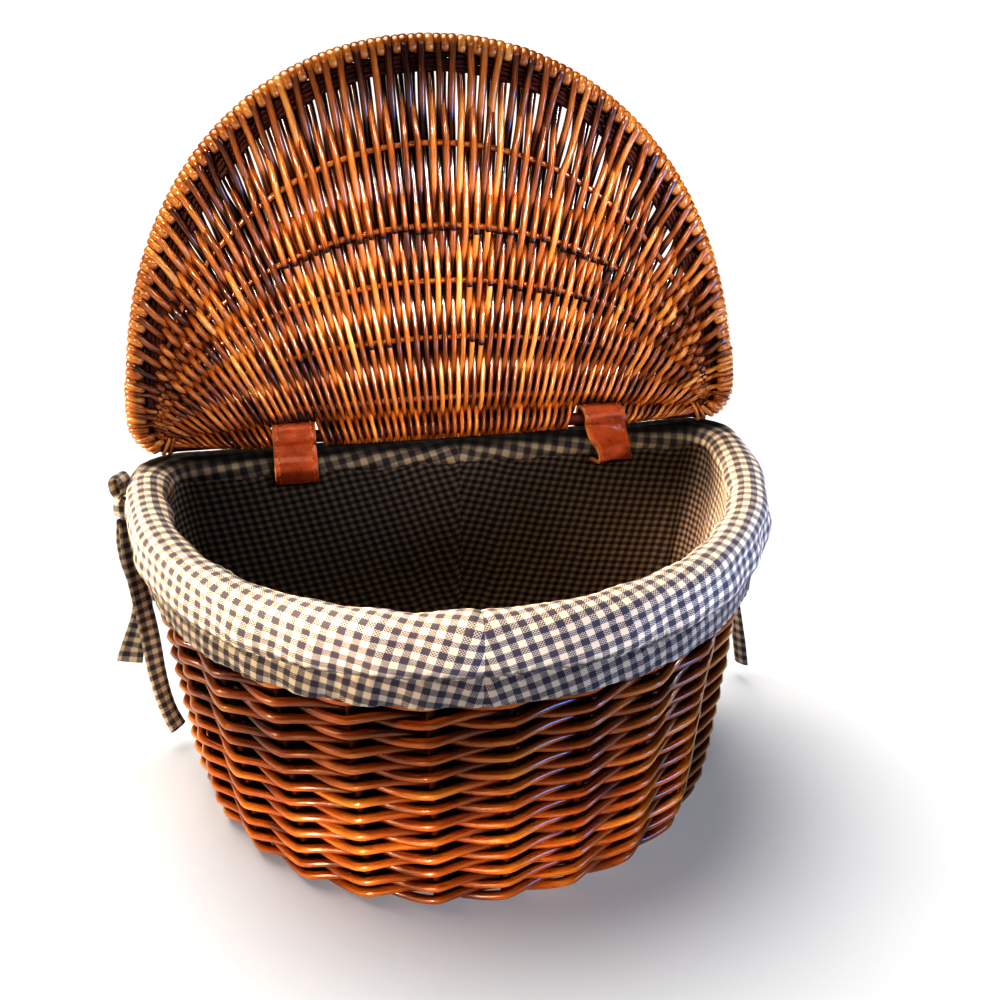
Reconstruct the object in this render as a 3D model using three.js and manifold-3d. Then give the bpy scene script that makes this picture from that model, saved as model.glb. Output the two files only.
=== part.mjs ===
// Picnic basket: a D-shaped willow basket with a hinged woven lid, a gingham lining and leather hinge loops.
// Millimetres, +Z up, front towards -Y. The origin is the middle of the base, on the floor.

import * as THREE from "three";
import { mergeVertices } from "three/addons/utils/BufferGeometryUtils.js";
import Module from "manifold-3d";

const wasm = await Module();
wasm.setup();

// Driving sizes. A D has a straight back, two rounded back corners and a bowed front.
const FOOT = { z: 0, halfWidth: 149, back: 89, front: -91.5, corner: 26 };
const RIM = { z: 165, halfWidth: 168.5, back: 101, front: -101.5, corner: 30 };
const BOW_POWER = 0.95; // under 1 the front is fuller than an ellipse
const WALL = { thickness: 13, top: 165.5, footRound: 6, firstRow: 6, rowPitch: 10.4, rows: 15, groove: 2.6 };
const BASE = { thickness: 8, gap: 0.35 };
const BORDER = { out: -6.5, z: 171.9, halfWidth: 9, halfHeight: 6, sides: 12 };
const CLOTH = { thickness: 1.5, gap: 0.45 };
const LID = {
  lean: 13.1, // degrees behind upright, where the loops stop it
  halfWidth: 166.2, // to the middle of the bow
  rise: 207.9,
  corner: 15,
  bowRadius: 5.8,
  hingeRadius: 5.4,
  ribRadius: 2.2,
  ribHalfSpan: 157,
  cornerFrom: 138, // the ribs end in a dense corner of weave beyond this
  weave: 6, // thickness of the woven bands
  gap: 0.35,
};
// The lid's ribs, top one first: height of the middle above the hinge rod, then the gaps between the weavers
// of the band above it and how far they spread, as a share of the lid's width.
const LID_RIBS = [
  { rise: 157, gaps: 24, spread: 0.66 },
  { rise: 113, gaps: 24, spread: 0.62 },
  { rise: 83, gaps: 22, spread: 0.6 },
  { rise: 51.5, gaps: 18, spread: 0.58 },
  { rise: 17.5, gaps: 0, spread: 0 },
];
const SPLICE = { radius: 2.2, from: 0.36, to: 0.78, aside: 4.3, behind: 7.2 }; // from, to: shares of the right half
const HINGE = { y: 97.5, z: 186.4 }; // axis of the lid's straight rod
const STRAP = { width: 24, thickness: 2.6, ringRadius: 7.3, passZ: 161.2, slotWidth: 32, slotHeight: 3.4 };
const STRAPS = [
  { name: "strap_left", x: -83, yaw: 0, shear: 0, ahead: 0 },
  { name: "strap_right", x: 92, yaw: 14, shear: 0.22, ahead: 3.6 },
];

// How finely the D outline is divided.
const FRONT_STEPS = 26;
const CORNER_STEPS = 3;
const BACK_STEPS = 2;

const FINISH = {
  willow: { color: 0x8a3c14, roughness: 0.4, metalness: 0 },
  darkWillow: { color: 0x6e2c10, roughness: 0.42, metalness: 0 },
  gingham: { color: 0xa9a5a0, roughness: 0.9, metalness: 0 },
  leather: { color: 0x7c3218, roughness: 0.45, metalness: 0 },
};

const radians = THREE.MathUtils.degToRad;
const mix = THREE.MathUtils.lerp;
const range = (n) => Array.from({ length: n }, (_, i) => i);

// A cosine or sine raised to the outline's power, keeping its sign.
const swell = (value) => Math.sign(value) * Math.abs(value) ** BOW_POWER;

// Points of a D, anticlockwise from above: the front from left to right, then the corners and the back.
function outline({ halfWidth, back, front, corner }) {
  const shoulder = back - corner;
  const inner = halfWidth - corner;
  const bow = range(FRONT_STEPS + 1).map((i) => {
    const turn = Math.PI * (1 + i / FRONT_STEPS);
    return [halfWidth * swell(Math.cos(turn)), shoulder + (shoulder - front) * swell(Math.sin(turn))];
  });
  const arc = (side, from) =>
    range(CORNER_STEPS).map((i) => {
      const turn = from + ((i + (side > 0 ? 1 : 0)) / CORNER_STEPS) * (Math.PI / 2);
      return [side * inner + corner * Math.cos(turn), shoulder + corner * Math.sin(turn)];
    });
  const straight = range(BACK_STEPS - 1).map((i) => [mix(inner, -inner, (i + 1) / BACK_STEPS), back]);
  return [...bow, ...arc(1, 0), ...straight, ...arc(-1, Math.PI / 2)];
}

// The wall's own D at a height, moved outwards by `out`, as a ring of points.
function ring(out, z) {
  const share = (z - FOOT.z) / (RIM.z - FOOT.z);
  const size = (key) => mix(FOOT[key], RIM[key], share);
  const section = {
    halfWidth: size("halfWidth") + out,
    back: size("back") + out,
    front: size("front") - out,
    corner: Math.max(size("corner") + out, 4),
  };
  return outline(section).map(([x, y]) => new THREE.Vector3(x, y, z));
}

const middle = (points) =>
  points.reduce((sum, p) => sum.add(p), new THREE.Vector3()).divideScalar(points.length);

// A closed skin through rings of equal length. Open ends are capped; `looped` joins the last ring to the first.
function loft(rings, looped = false) {
  const sides = rings[0].length;
  const points = rings.flat();
  const faces = [];
  const last = looped ? rings.length : rings.length - 1;
  for (let k = 0; k < last; k += 1) {
    const next = (k + 1) % rings.length;
    for (let i = 0; i < sides; i += 1) {
      const j = (i + 1) % sides;
      const [a, b, c, d] = [k * sides + i, k * sides + j, next * sides + j, next * sides + i];
      faces.push(a, b, c, a, c, d);
    }
  }
  if (!looped) {
    const top = (rings.length - 1) * sides;
    const [low, high] = [points.push(middle(rings[0])) - 1, points.push(middle(rings.at(-1))) - 1];
    for (let i = 0; i < sides; i += 1) {
      const j = (i + 1) % sides;
      faces.push(low, j, i, high, top + i, top + j);
    }
  }
  const geometry = new THREE.BufferGeometry().setFromPoints(points);
  geometry.setIndex(faces);
  return geometry;
}

// A round rod along a line drawn in a plane of constant z.
function rod(line, radius, sides) {
  const rings = line.map((p, i) => {
    const before = line[Math.max(i - 1, 0)];
    const after = line[Math.min(i + 1, line.length - 1)];
    const along = new THREE.Vector3().subVectors(after, before).normalize();
    const across = new THREE.Vector3(-along.y, along.x, 0);
    return range(sides).map((j) => {
      const turn = (2 * Math.PI * (j + 0.5)) / sides;
      const spot = p.clone().addScaledVector(across, radius * Math.cos(turn));
      return spot.setZ(p.z + radius * Math.sin(turn));
    });
  });
  return loft(rings);
}

const positionsOnly = (geometry) =>
  mergeVertices(
    new THREE.BufferGeometry().setAttribute("position", geometry.getAttribute("position")).setIndex(geometry.index),
    1e-4,
  );

function solid(geometry) {
  const merged = positionsOnly(geometry);
  const triVerts = Uint32Array.from(merged.index.array);
  return new wasm.Manifold(
    new wasm.Mesh({ numProp: 3, vertProperties: merged.attributes.position.array, triVerts }),
  );
}

function cut(geometry, tools) {
  const left = tools.reduce((body, tool) => body.subtract(tool), solid(geometry)).getMesh();
  const result = new THREE.BufferGeometry();
  result.setAttribute("position", new THREE.BufferAttribute(left.vertProperties, 3));
  result.setIndex(new THREE.BufferAttribute(left.triVerts, 1));
  return result;
}

function piece(name, geometry, finish) {
  geometry.computeVertexNormals();
  const mesh = new THREE.Mesh(geometry, new THREE.MeshStandardMaterial({ ...finish, flatShading: true }));
  mesh.name = name;
  return mesh;
}

// Basket body

// Slots through the back wall and both layers of cloth, where the hinge loops pass.
const strapSlots = STRAPS.map(({ x }) => {
  const slot = new THREE.BoxGeometry(STRAP.slotWidth, 70, STRAP.slotHeight);
  return solid(slot.translate(x, RIM.back, STRAP.passZ));
});

function base() {
  const edge = -WALL.thickness - BASE.gap;
  return loft([ring(edge, 0), ring(edge, BASE.thickness)]);
}

// The woven wall: each row of rods swells the outer face, with a groove between rows.
function wall() {
  const { thickness, top, footRound, firstRow, rowPitch, rows, groove } = WALL;
  const outer = range(rows).flatMap((row) => {
    const z = firstRow + row * rowPitch;
    return [ring(0, z), ring(-groove, z + rowPitch / 2)];
  });
  const inner = [top, 0].map((z) => ring(-thickness, z));
  const skin = [ring(-footRound, 0), ...outer.slice(0, -1), ring(-groove, top), ...inner];
  return cut(loft(skin, true), strapSlots);
}

// Spot on the border's oval, swollen by `grow`; 0 degrees is outwards and 90 is up.
function borderSpot(degrees, grow) {
  const turn = radians(degrees);
  return {
    out: BORDER.out + (BORDER.halfWidth + grow) * Math.cos(turn),
    z: BORDER.z + (BORDER.halfHeight + grow) * Math.sin(turn),
  };
}

function border() {
  const step = 360 / BORDER.sides;
  const spots = range(BORDER.sides).map((i) => borderSpot(i * step, 0));
  return loft(spots.map(({ out, z }) => ring(out, z)), true);
}

// The cloth runs from the floor up the inside, over the border and down outside to its gathered cuff.
function lining() {
  const inside = -WALL.thickness - CLOTH.gap;
  const step = 360 / BORDER.sides;
  const overBorder = range(9).map((i) => borderSpot(210 - i * step, CLOTH.gap));
  const under = [
    { out: inside, z: BASE.thickness + CLOTH.gap },
    { out: inside, z: 162 },
    ...overBorder,
    { out: 1.2, z: 159 },
    { out: 0.8, z: 150 }, // gather line above the cuff's hem
    { out: 2.8, z: 146 },
    { out: 4.2, z: 134 },
  ];
  const over = under.map((spot, i) => {
    const before = under[Math.max(i - 1, 0)];
    const after = under[Math.min(i + 1, under.length - 1)];
    const [dOut, dZ] = i ? [after.out - before.out, after.z - before.z] : [1, 1];
    const long = Math.hypot(dOut, dZ);
    const scale = CLOTH.thickness * (i ? 1 : Math.SQRT2);
    return { out: spot.out - (scale * dZ) / long, z: spot.z + (scale * dOut) / long };
  });
  const rings = [...under, ...over.reverse()].map(({ out, z }) => ring(out, z));
  return cut(loft(rings), strapSlots);
}

// Leather hinge loops

// Line of a loop seen from its end, from the hinge axis: y to the back, z up.
const LOOP_LINE = [
  ...range(8).map((i) => {
    const turn = radians(-15 + 30 * i);
    return { y: STRAP.ringRadius * Math.cos(turn), z: STRAP.ringRadius * Math.sin(turn) };
  }),
  { y: -10.4, z: -5.0 }, // over the lined rim
  { y: -14.4, z: -9.0 },
  { y: -16.4, z: -14.5 },
  { y: -16.4, z: -20.0 },
  { y: -15.4, z: -23.6 },
  { y: -13.2, z: STRAP.passZ - HINGE.z }, // through the wall
  { y: 0, z: STRAP.passZ - HINGE.z },
  { y: 8.0, z: STRAP.passZ - HINGE.z },
  { y: 11.4, z: -23.0 }, // up the outside of the back
  { y: 12.6, z: -18.0 },
  { y: 12.4, z: -12.0 },
  { y: 10.2, z: -5.0 },
];

// A band of leather round the loop line. A yawed and sheared loop has its front drawn aside and ahead.
function strap({ x, yaw, shear, ahead }) {
  const count = LOOP_LINE.length;
  const pull = LOOP_LINE.map(({ y, z }) => (z > -23 ? THREE.MathUtils.clamp(-y / 14, 0, 1) : 0));
  const spots = LOOP_LINE.map(
    ({ y, z }, i) =>
      new THREE.Vector3(x - shear * Math.min(y, 0), HINGE.y + y - ahead * pull[i], HINGE.z + z),
  );
  const rings = spots.map((spot, i) => {
    const along = new THREE.Vector3().subVectors(spots[(i + 1) % count], spots[(i + count - 1) % count]);
    along.setX(0).normalize();
    const across = new THREE.Vector3(1, 0, 0).applyAxisAngle(new THREE.Vector3(0, 0, 1), radians(yaw) * pull[i]);
    const outwards = new THREE.Vector3(0, along.z, -along.y);
    const corner = (w, t) =>
      spot.clone().addScaledVector(across, (w * STRAP.width) / 2).addScaledVector(outwards, (t * STRAP.thickness) / 2);
    return [corner(-1, -1), corner(1, -1), corner(1, 1), corner(-1, 1)];
  });
  return loft(rings, true);
}

// Ties of the cuff: flat ribbons that hang from a knot at each back corner.

const RIBBON = { width: 11, thickness: 1.6 };
const KNOT_SIZE = [5.5, 6, 7];
const KNOTS = {
  tie_left_knot: { x: -177.6, y: 78, z: 160 },
  tie_right_knot: { x: 163.5, y: 96.7, z: 150 },
};
const BOW_LOOP = { x: -177.8, y: 78, z: 174, halfWidth: 4, halfHeight: 6, width: 8, thickness: 1.4 };

// Middle line of each tail, from the knot down; turn is how far its face is swung from facing the front.
const TIE_TAILS = {
  tie_left_tail_long: [
    { x: -176.8, y: 76.3, z: 152.7, turn: 30 },
    { x: -177, y: 76.6, z: 145, turn: 32 },
    { x: -177.1, y: 77, z: 140, turn: 33 },
    { x: -177, y: 77.5, z: 135, turn: 35 },
    { x: -176.6, y: 78.6, z: 124, turn: 38 },
    { x: -175.6, y: 79.8, z: 112, turn: 36 },
    { x: -174.6, y: 80.8, z: 100, turn: 32 },
    { x: -173.4, y: 81.5, z: 88, turn: 26 },
    { x: -172.5, y: 82, z: 76, turn: 22 },
    { x: -171.8, y: 82, z: 64, turn: 24 },
    { x: -171.1, y: 82, z: 52, turn: 30 },
    { x: -169.9, y: 82, z: 40, turn: 35 },
    { x: -168.2, y: 82, z: 29, turn: 40 },
    { x: -165.8, y: 82, z: 19, turn: 40 },
    { x: -162.7, y: 82, z: 10, turn: 35 },
  ],
  tie_left_tail_short: [
    { x: -178.2, y: 79.9, z: 152.7, turn: 30 },
    { x: -178.8, y: 81.5, z: 146, turn: 30 },
    { x: -179.2, y: 83.5, z: 139, turn: 30 },
    { x: -179.4, y: 86, z: 131, turn: 30 },
    { x: -179, y: 88, z: 123, turn: 28 },
    { x: -177.8, y: 89.5, z: 115, turn: 25 },
    { x: -176.4, y: 90.5, z: 107, turn: 20 },
    { x: -175.2, y: 91, z: 99, turn: 10 },
    { x: -175.4, y: 91.5, z: 91, turn: 0 },
    { x: -177.2, y: 92, z: 83, turn: -5 },
    { x: -179.8, y: 92.5, z: 75, turn: -5 },
    { x: -182.4, y: 93, z: 67, turn: 0 },
    { x: -183.7, y: 93, z: 63, turn: 3 },
    { x: -184.8, y: 93, z: 60, turn: 5 },
    { x: -187, y: 93, z: 52, turn: 5 },
  ],
  tie_right_tail_long: [
    { x: 162.5, y: 95.7, z: 142.7, turn: -45 },
    { x: 164, y: 95.5, z: 134, turn: -47 },
    { x: 165.2, y: 95.3, z: 128, turn: -48 },
    { x: 166.5, y: 95.1, z: 123, turn: -50 },
    { x: 169.3, y: 94.7, z: 112, turn: -55 },
    { x: 172.1, y: 94.5, z: 101, turn: -60 },
    { x: 174.9, y: 94.5, z: 90, turn: -62 },
    { x: 177.7, y: 94.5, z: 79, turn: -65 },
    { x: 180.3, y: 94.5, z: 68, turn: -65 },
    { x: 182.7, y: 94.5, z: 57, turn: -65 },
    { x: 185.1, y: 94.5, z: 46, turn: -65 },
    { x: 187.1, y: 94.5, z: 36, turn: -62 },
    { x: 189.1, y: 94.5, z: 26, turn: -60 },
    { x: 190.7, y: 94.5, z: 17, turn: -60 },
    { x: 192.1, y: 94.5, z: 9, turn: -60 },
  ],
  tie_right_tail_short: [
    { x: 164.6, y: 97.8, z: 142.7, turn: -45 },
    { x: 165.3, y: 98.6, z: 140, turn: -45 },
    { x: 166.1, y: 99.3, z: 137, turn: -45 },
    { x: 168.1, y: 100.9, z: 131, turn: -45 },
    { x: 170.3, y: 102.3, z: 125, turn: -43 },
    { x: 171.5, y: 102.8, z: 122, turn: -42 },
    { x: 172.7, y: 103.3, z: 119, turn: -40 },
    { x: 175.3, y: 103.9, z: 113, turn: -40 },
    { x: 177.9, y: 104.3, z: 107, turn: -38 },
    { x: 180.5, y: 104.5, z: 101, turn: -35 },
    { x: 183.1, y: 104.5, z: 95, turn: -30 },
    { x: 185.7, y: 104.5, z: 89, turn: -25 },
    { x: 187, y: 104.3, z: 86, turn: -22 },
    { x: 188.3, y: 104.1, z: 83, turn: -20 },
    { x: 190.7, y: 103.7, z: 77, turn: -20 },
  ],
};

function ribbon(route) {
  const spots = route.map(({ x, y, z }) => new THREE.Vector3(x, y, z));
  const rings = spots.map((spot, i) => {
    const before = spots[Math.max(i - 1, 0)];
    const along = new THREE.Vector3().subVectors(spots[Math.min(i + 1, spots.length - 1)], before).normalize();
    const turn = radians(route[i].turn);
    const across = new THREE.Vector3(Math.cos(turn), Math.sin(turn), 0);
    across.addScaledVector(along, -across.dot(along)).normalize();
    const face = new THREE.Vector3().crossVectors(along, across);
    return range(8).map((j) => {
      const angle = (2 * Math.PI * (j + 0.5)) / 8;
      const side = spot.clone().addScaledVector(across, (RIBBON.width / 2) * Math.cos(angle));
      return side.addScaledVector(face, (RIBBON.thickness / 2) * Math.sin(angle));
    });
  });
  return loft(rings);
}

function knot({ x, y, z }) {
  return positionsOnly(new THREE.IcosahedronGeometry(1, 1)).scale(...KNOT_SIZE).translate(x, y, z);
}

// The small loop of the left bow stands up from its knot.
function bowLoop() {
  const { x, y, z, halfWidth, halfHeight, width, thickness } = BOW_LOOP;
  const rings = range(12).map((i) => {
    const turn = (2 * Math.PI * i) / 12;
    const outwards = new THREE.Vector3(Math.cos(turn), 0, Math.sin(turn));
    const spot = new THREE.Vector3(x + halfWidth * outwards.x, y, z + halfHeight * outwards.z);
    const corner = (w, t) =>
      spot.clone().setY(y + (w * width) / 2).addScaledVector(outwards, (t * thickness) / 2);
    return [corner(-1, -1), corner(-1, 1), corner(1, 1), corner(1, -1)];
  });
  return loft(rings, true);
}

// Lid, drawn flat: x across, y from the hinge rod to the top of the bow, z towards the inside of the basket

const LID_D = { halfWidth: LID.halfWidth, back: 0, front: -LID.rise, corner: LID.corner };
const flat = (x, y, z = 0) => new THREE.Vector3(x, y, z);

const HINGE_END = LID.halfWidth - LID.corner - 3; // where the bow's turned-in ends meet the hinge rod

// The bow's middle line, from the left end of the hinge rod over the top to its right end.
const bowLine = (() => {
  const points = outline(LID_D).map(([x, y]) => flat(x, -y));
  const front = points.slice(0, FRONT_STEPS + 1);
  const right = points.slice(FRONT_STEPS + 1, FRONT_STEPS + 1 + CORNER_STEPS);
  const left = points.slice(-CORNER_STEPS);
  return [flat(-HINGE_END, 0), ...left, ...front, ...right, flat(HINGE_END, 0)];
})();
const bowArch = bowLine.slice(CORNER_STEPS + 1, CORNER_STEPS + FRONT_STEPS + 2);

// A line beside another one, `distance` to its left.
function beside(line, distance) {
  return line.map((p, i) => {
    const before = line[Math.max(i - 1, 0)];
    const along = new THREE.Vector3().subVectors(line[Math.min(i + 1, line.length - 1)], before).normalize();
    return flat(p.x - along.y * distance, p.y + along.x * distance, p.z);
  });
}

const RIB_TURNS = range(33).map((i) => Math.PI * (1 - i / 32)); // left to right
const ribLine = (rise) =>
  RIB_TURNS.map((turn) => flat(LID.ribHalfSpan * Math.cos(turn), rise * Math.sin(turn)));

// The stretch of a line, drawn from left to right, between two places across the lid.
function between(line, from, to) {
  const at = (x) => {
    const k = line.findIndex((p) => p.x >= x);
    return line[k - 1].clone().lerp(line[k], (x - line[k - 1].x) / (line[k].x - line[k - 1].x));
  };
  return [at(from), ...line.filter((p) => p.x > from + 0.5 && p.x < to - 0.5), at(to)];
}

function rib({ rise }) {
  const end = LID.cornerFrom - LID.ribRadius;
  return rod(between(ribLine(rise), -end, end), LID.ribRadius, 6);
}

// Where the weaver at a share of the width, -1 to 1, crosses a rib, as a share of its own length.
function weaverAt(share) {
  const spot = ((share + 1) / 2) * FRONT_STEPS;
  const k = Math.min(Math.floor(spot), FRONT_STEPS - 1);
  const top = bowArch[k].clone().lerp(bowArch[k + 1], spot - k);
  const foot = flat(LID.ribHalfSpan * share * 0.94, 0);
  const run = new THREE.Vector3().subVectors(top, foot);
  const crossing = (rise) => {
    const [a, b] = [LID.ribHalfSpan ** 2, rise ** 2];
    const p = run.x ** 2 / a + run.y ** 2 / b;
    const q = (foot.x * run.x) / a;
    return (Math.sqrt(q * q - p * (foot.x ** 2 / a - 1)) - q) / p;
  };
  return { foot, top, run, crossing, length: run.length() };
}

// A band of weave between a lower and an upper line, with the gaps between its weavers.
function band(lower, upper, gaps) {
  const shape = new THREE.Shape([...lower, ...upper.toReversed()].map((p) => new THREE.Vector2(p.x, p.y)));
  shape.holes = gaps.map((corners) => new THREE.Path(corners.map((p) => new THREE.Vector2(p.x, p.y))));
  const slab = new THREE.ExtrudeGeometry(shape, { depth: LID.weave, bevelEnabled: false });
  return slab.translate(0, 0, -LID.weave / 2);
}

// Four corners of one gap beside a weaver, between two ribs or a rib and the bow.
function gapCorners(share, lowRise, highRise) {
  const { foot, run, crossing, length } = weaverAt(share);
  const inset = 7.5 / length;
  const from = crossing(lowRise) + inset;
  const to = (highRise ? crossing(highRise) : 1 - LID.bowRadius / length) - inset;
  const aside = new THREE.Vector3(run.y, -run.x, 0).setLength(1.0);
  const at = (t, w) => foot.clone().addScaledVector(run, t).addScaledVector(aside, w);
  return [at(from, -1), at(from, 1), at(to, 1), at(to, -1)];
}

// The bow's inner side, where the weave ends.
const bowInside = beside(bowLine, -LID.bowRadius - LID.gap - 0.15);
const archInside = bowInside.filter((p) => p.y > LID.rise / 5);

// The woven bands from the bow down to the lowest rib.
function bands() {
  const keep = LID.ribRadius + LID.gap;
  const end = LID.cornerFrom;
  return LID_RIBS.map(({ rise, gaps, spread }, i) => {
    const high = LID_RIBS[i - 1]?.rise;
    const lower = between(beside(ribLine(rise), keep), -end, end);
    const upper = between(high ? beside(ribLine(high), -keep) : archInside, -end, end);
    const shares = range(gaps).map((k) => mix(-spread, spread, (k + 0.5) / gaps));
    const holes = shares.map((share) => gapCorners(share, rise, high));
    return piece("lid_weave_" + (i + 1), band(lower, upper, holes), FINISH.willow);
  });
}

// The dense corner where the ribs run together, between the ends of the bands and the bow.
function cornerBand(side) {
  const from = LID.cornerFrom + LID.gap;
  const top = between(archInside, -from, from).at(-1);
  const foot = flat(from, LID.bowRadius + LID.gap + 0.15);
  const curve = bowInside.filter((p) => p.x > from + 0.5 && p.y < top.y && p.y > foot.y + 0.2);
  const edge = [foot, ...curve.toReversed(), top].map((p) => new THREE.Vector2(side * p.x, p.y));
  const shape = new THREE.Shape(edge);
  const slab = new THREE.ExtrudeGeometry(shape, { depth: LID.weave, bevelEnabled: false });
  return slab.translate(0, 0, -LID.weave / 2);
}

// The foot of the weave, between the hinge rod and the lowest rib, leaves the loops room to pass.
function footBands() {
  const free = STRAP.width / 2 + 4;
  const low = LID.hingeRadius + LID.gap;
  const ceiling = beside(ribLine(LID_RIBS.at(-1).rise), -LID.ribRadius - LID.gap - 0.1);
  const spans = [
    { name: "lid_weave_foot_left", from: -126, to: STRAPS[0].x - free },
    { name: "lid_weave_foot_middle", from: STRAPS[0].x + free, to: STRAPS[1].x - free },
    { name: "lid_weave_foot_right", from: STRAPS[1].x + free, to: 126 },
  ];
  return spans.map(({ name, from, to }) =>
    piece(name, band([flat(from, low), flat(to, low)], between(ceiling, from, to), []), FINISH.willow),
  );
}

function hingeRod() {
  const end = HINGE_END - LID.gap;
  return rod([flat(-end, 0), flat(end, 0)], LID.hingeRadius, 10);
}

// A smooth spliced rod lies along the outside of the bow's right shoulder.
function spliceRod() {
  const right = bowArch.slice(FRONT_STEPS / 2);
  const [from, to] = [SPLICE.from, SPLICE.to].map((share) => Math.round(share * (right.length - 1)));
  const line = beside(right, SPLICE.aside).slice(from, to + 1);
  return rod(line.map((p) => p.setZ(-SPLICE.behind)), SPLICE.radius, 6);
}

function lid() {
  const group = new THREE.Group();
  group.name = "lid";
  group.add(piece("lid_bow", rod(bowLine.toReversed(), LID.bowRadius, 8), FINISH.darkWillow));
  group.add(piece("lid_hinge_rod", hingeRod(), FINISH.darkWillow));
  group.add(piece("lid_splice_rod", spliceRod(), FINISH.willow));
  LID_RIBS.forEach((row, i) => group.add(piece("lid_rib_" + (i + 1), rib(row), FINISH.darkWillow)));
  group.add(...bands(), ...footBands());
  group.add(piece("lid_weave_corner_left", cornerBand(-1), FINISH.willow));
  group.add(piece("lid_weave_corner_right", cornerBand(1), FINISH.willow));
  group.position.set(0, HINGE.y, HINGE.z);
  group.rotation.x = Math.PI / 2 - radians(LID.lean);
  return group;
}

const basket = new THREE.Group();
basket.name = "picnic_basket";
basket.add(piece("base", base(), FINISH.willow));
basket.add(piece("wall", wall(), FINISH.willow));
basket.add(piece("rim_border", border(), FINISH.darkWillow));
basket.add(piece("lining", lining(), FINISH.gingham));
STRAPS.forEach((strapPlace) => basket.add(piece(strapPlace.name, strap(strapPlace), FINISH.leather)));
Object.entries(KNOTS).forEach(([name, place]) => basket.add(piece(name, knot(place), FINISH.gingham)));
basket.add(piece("tie_left_loop", bowLoop(), FINISH.gingham));
Object.entries(TIE_TAILS).forEach(([name, route]) => basket.add(piece(name, ribbon(route), FINISH.gingham)));
basket.add(lid());

export default basket;
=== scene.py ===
"""Looks of an open picnic basket: woven willow, gingham lining, leather hinge loops and ribbon ties.

Lengths are in millimetres, in the frame of the solids (+Z up, front towards -Y), and become metres when a
mesh is made. Every surface is a grid of two parameters, or a section carried along a path.
"""

from __future__ import annotations

import logging
from dataclasses import dataclass
from enum import Enum
from functools import cached_property
from typing import Any

import bpy
import numpy as np
from mathutils import Matrix


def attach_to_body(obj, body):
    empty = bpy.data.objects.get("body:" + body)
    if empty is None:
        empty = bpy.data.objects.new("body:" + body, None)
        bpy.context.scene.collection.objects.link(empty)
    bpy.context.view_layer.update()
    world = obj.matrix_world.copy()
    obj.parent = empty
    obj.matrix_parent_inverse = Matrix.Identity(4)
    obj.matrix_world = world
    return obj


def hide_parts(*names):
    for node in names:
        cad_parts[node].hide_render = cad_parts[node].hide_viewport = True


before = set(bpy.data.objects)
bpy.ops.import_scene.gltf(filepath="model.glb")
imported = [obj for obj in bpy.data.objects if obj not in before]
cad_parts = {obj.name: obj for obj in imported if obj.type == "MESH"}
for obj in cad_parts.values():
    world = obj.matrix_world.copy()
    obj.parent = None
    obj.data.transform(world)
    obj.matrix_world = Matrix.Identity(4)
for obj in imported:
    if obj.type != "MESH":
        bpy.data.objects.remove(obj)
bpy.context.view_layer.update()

LOG = logging.getLogger("picnic_basket")
MM = 0.001
SEED = 20
UP = np.array([0.0, 0.0, 1.0])
NOISE_SPAN = {"From_Min": 0.3, "From_Max": 0.7}  # most values of a noise lie here
UNSHADED = 0.5  # tone of cloth and leather without painted shade
Array = np.ndarray
Span = tuple[float, float]
Spot = tuple[float, float, float]


class Body(Enum):
    """The bodies that a piece can ride on."""

    BASKET = "basket"
    LID = "lid"


class Slot(Enum):
    """The record's material slots."""

    WILLOW = "willow"
    DARK_WILLOW = "willow_dark"
    GINGHAM = "gingham"
    LEATHER = "leather"


# ---- Numbers and lines


def unit(vectors: Array) -> Array:
    """Vectors of length one."""
    return vectors / np.maximum(np.linalg.norm(vectors, axis=-1, keepdims=True), 1e-12)


def swell(value: Array, power: float) -> Array:
    """A cosine or sine raised to a power, keeping its sign."""
    return np.sign(value) * np.abs(value) ** power


def bell(value: Array, middle: float, width: float) -> Array:
    """A hump of height one: exp(-((value - middle) / width)^2)."""
    return np.exp(-(((value - middle) / width) ** 2))


def ripple(turns: Array, cycles: tuple[int, int], waves: int, seed: int, drift: Array | float = 0.0) -> Array:
    """A soft wave that closes on itself: the mean of sines with whole numbers of cycles.

    Args:
        turns: where on the closed line, 0 to 1.
        cycles: fewest and most cycles of a sine.
        waves: how many sines are added.
        seed: seed of the phases.
        drift: a phase in turns that is added, for a wave that also changes across the line.

    Returns:
        Values of about -1 to 1, in the shape of turns and drift.
    """
    draw = np.random.default_rng(seed)
    counts = draw.integers(cycles[0], cycles[1] + 1, waves)
    starts = draw.random(waves)
    slants = draw.uniform(-1, 1, waves)
    total = sum(
        np.sin(2 * np.pi * (count * turns + start + slant * drift))
        for count, start, slant in zip(counts, starts, slants)
    )
    return total / np.sqrt(waves)


def smooth_line(points: Array, count: int, closed: bool = False) -> Array:
    """A Catmull-Rom line through points: a cubic between two points, with the slope of their neighbours.

    Args:
        points: control points, one a row, with any number of columns.
        count: points of the result.
        closed: whether the last point leads back to the first.

    Returns:
        The line as count rows.
    """
    last = len(points) if closed else len(points) - 1
    at = np.linspace(0, last, count, endpoint=not closed)
    start = np.minimum(np.floor(at).astype(int), last - 1)
    w = (at - start)[:, None]
    pick = [start + step for step in (-1, 0, 1, 2)]
    pick = [k % len(points) if closed else np.clip(k, 0, len(points) - 1) for k in pick]
    a, b, c, d = (points[k] for k in pick)
    return b + 0.5 * w * (c - a + w * (2 * a - 5 * b + 4 * c - d + w * (3 * (b - c) + d - a)))


def along(line: Array) -> Array:
    """Distance along a line of points, from its first one."""
    return np.concatenate([[0.0], np.cumsum(np.linalg.norm(np.diff(line, axis=0), axis=1))])


def around(section: Array) -> Array:
    """Distance round a closed section, with the way back to its first point."""
    return along(np.concatenate([section, section[:1]]))


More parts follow.
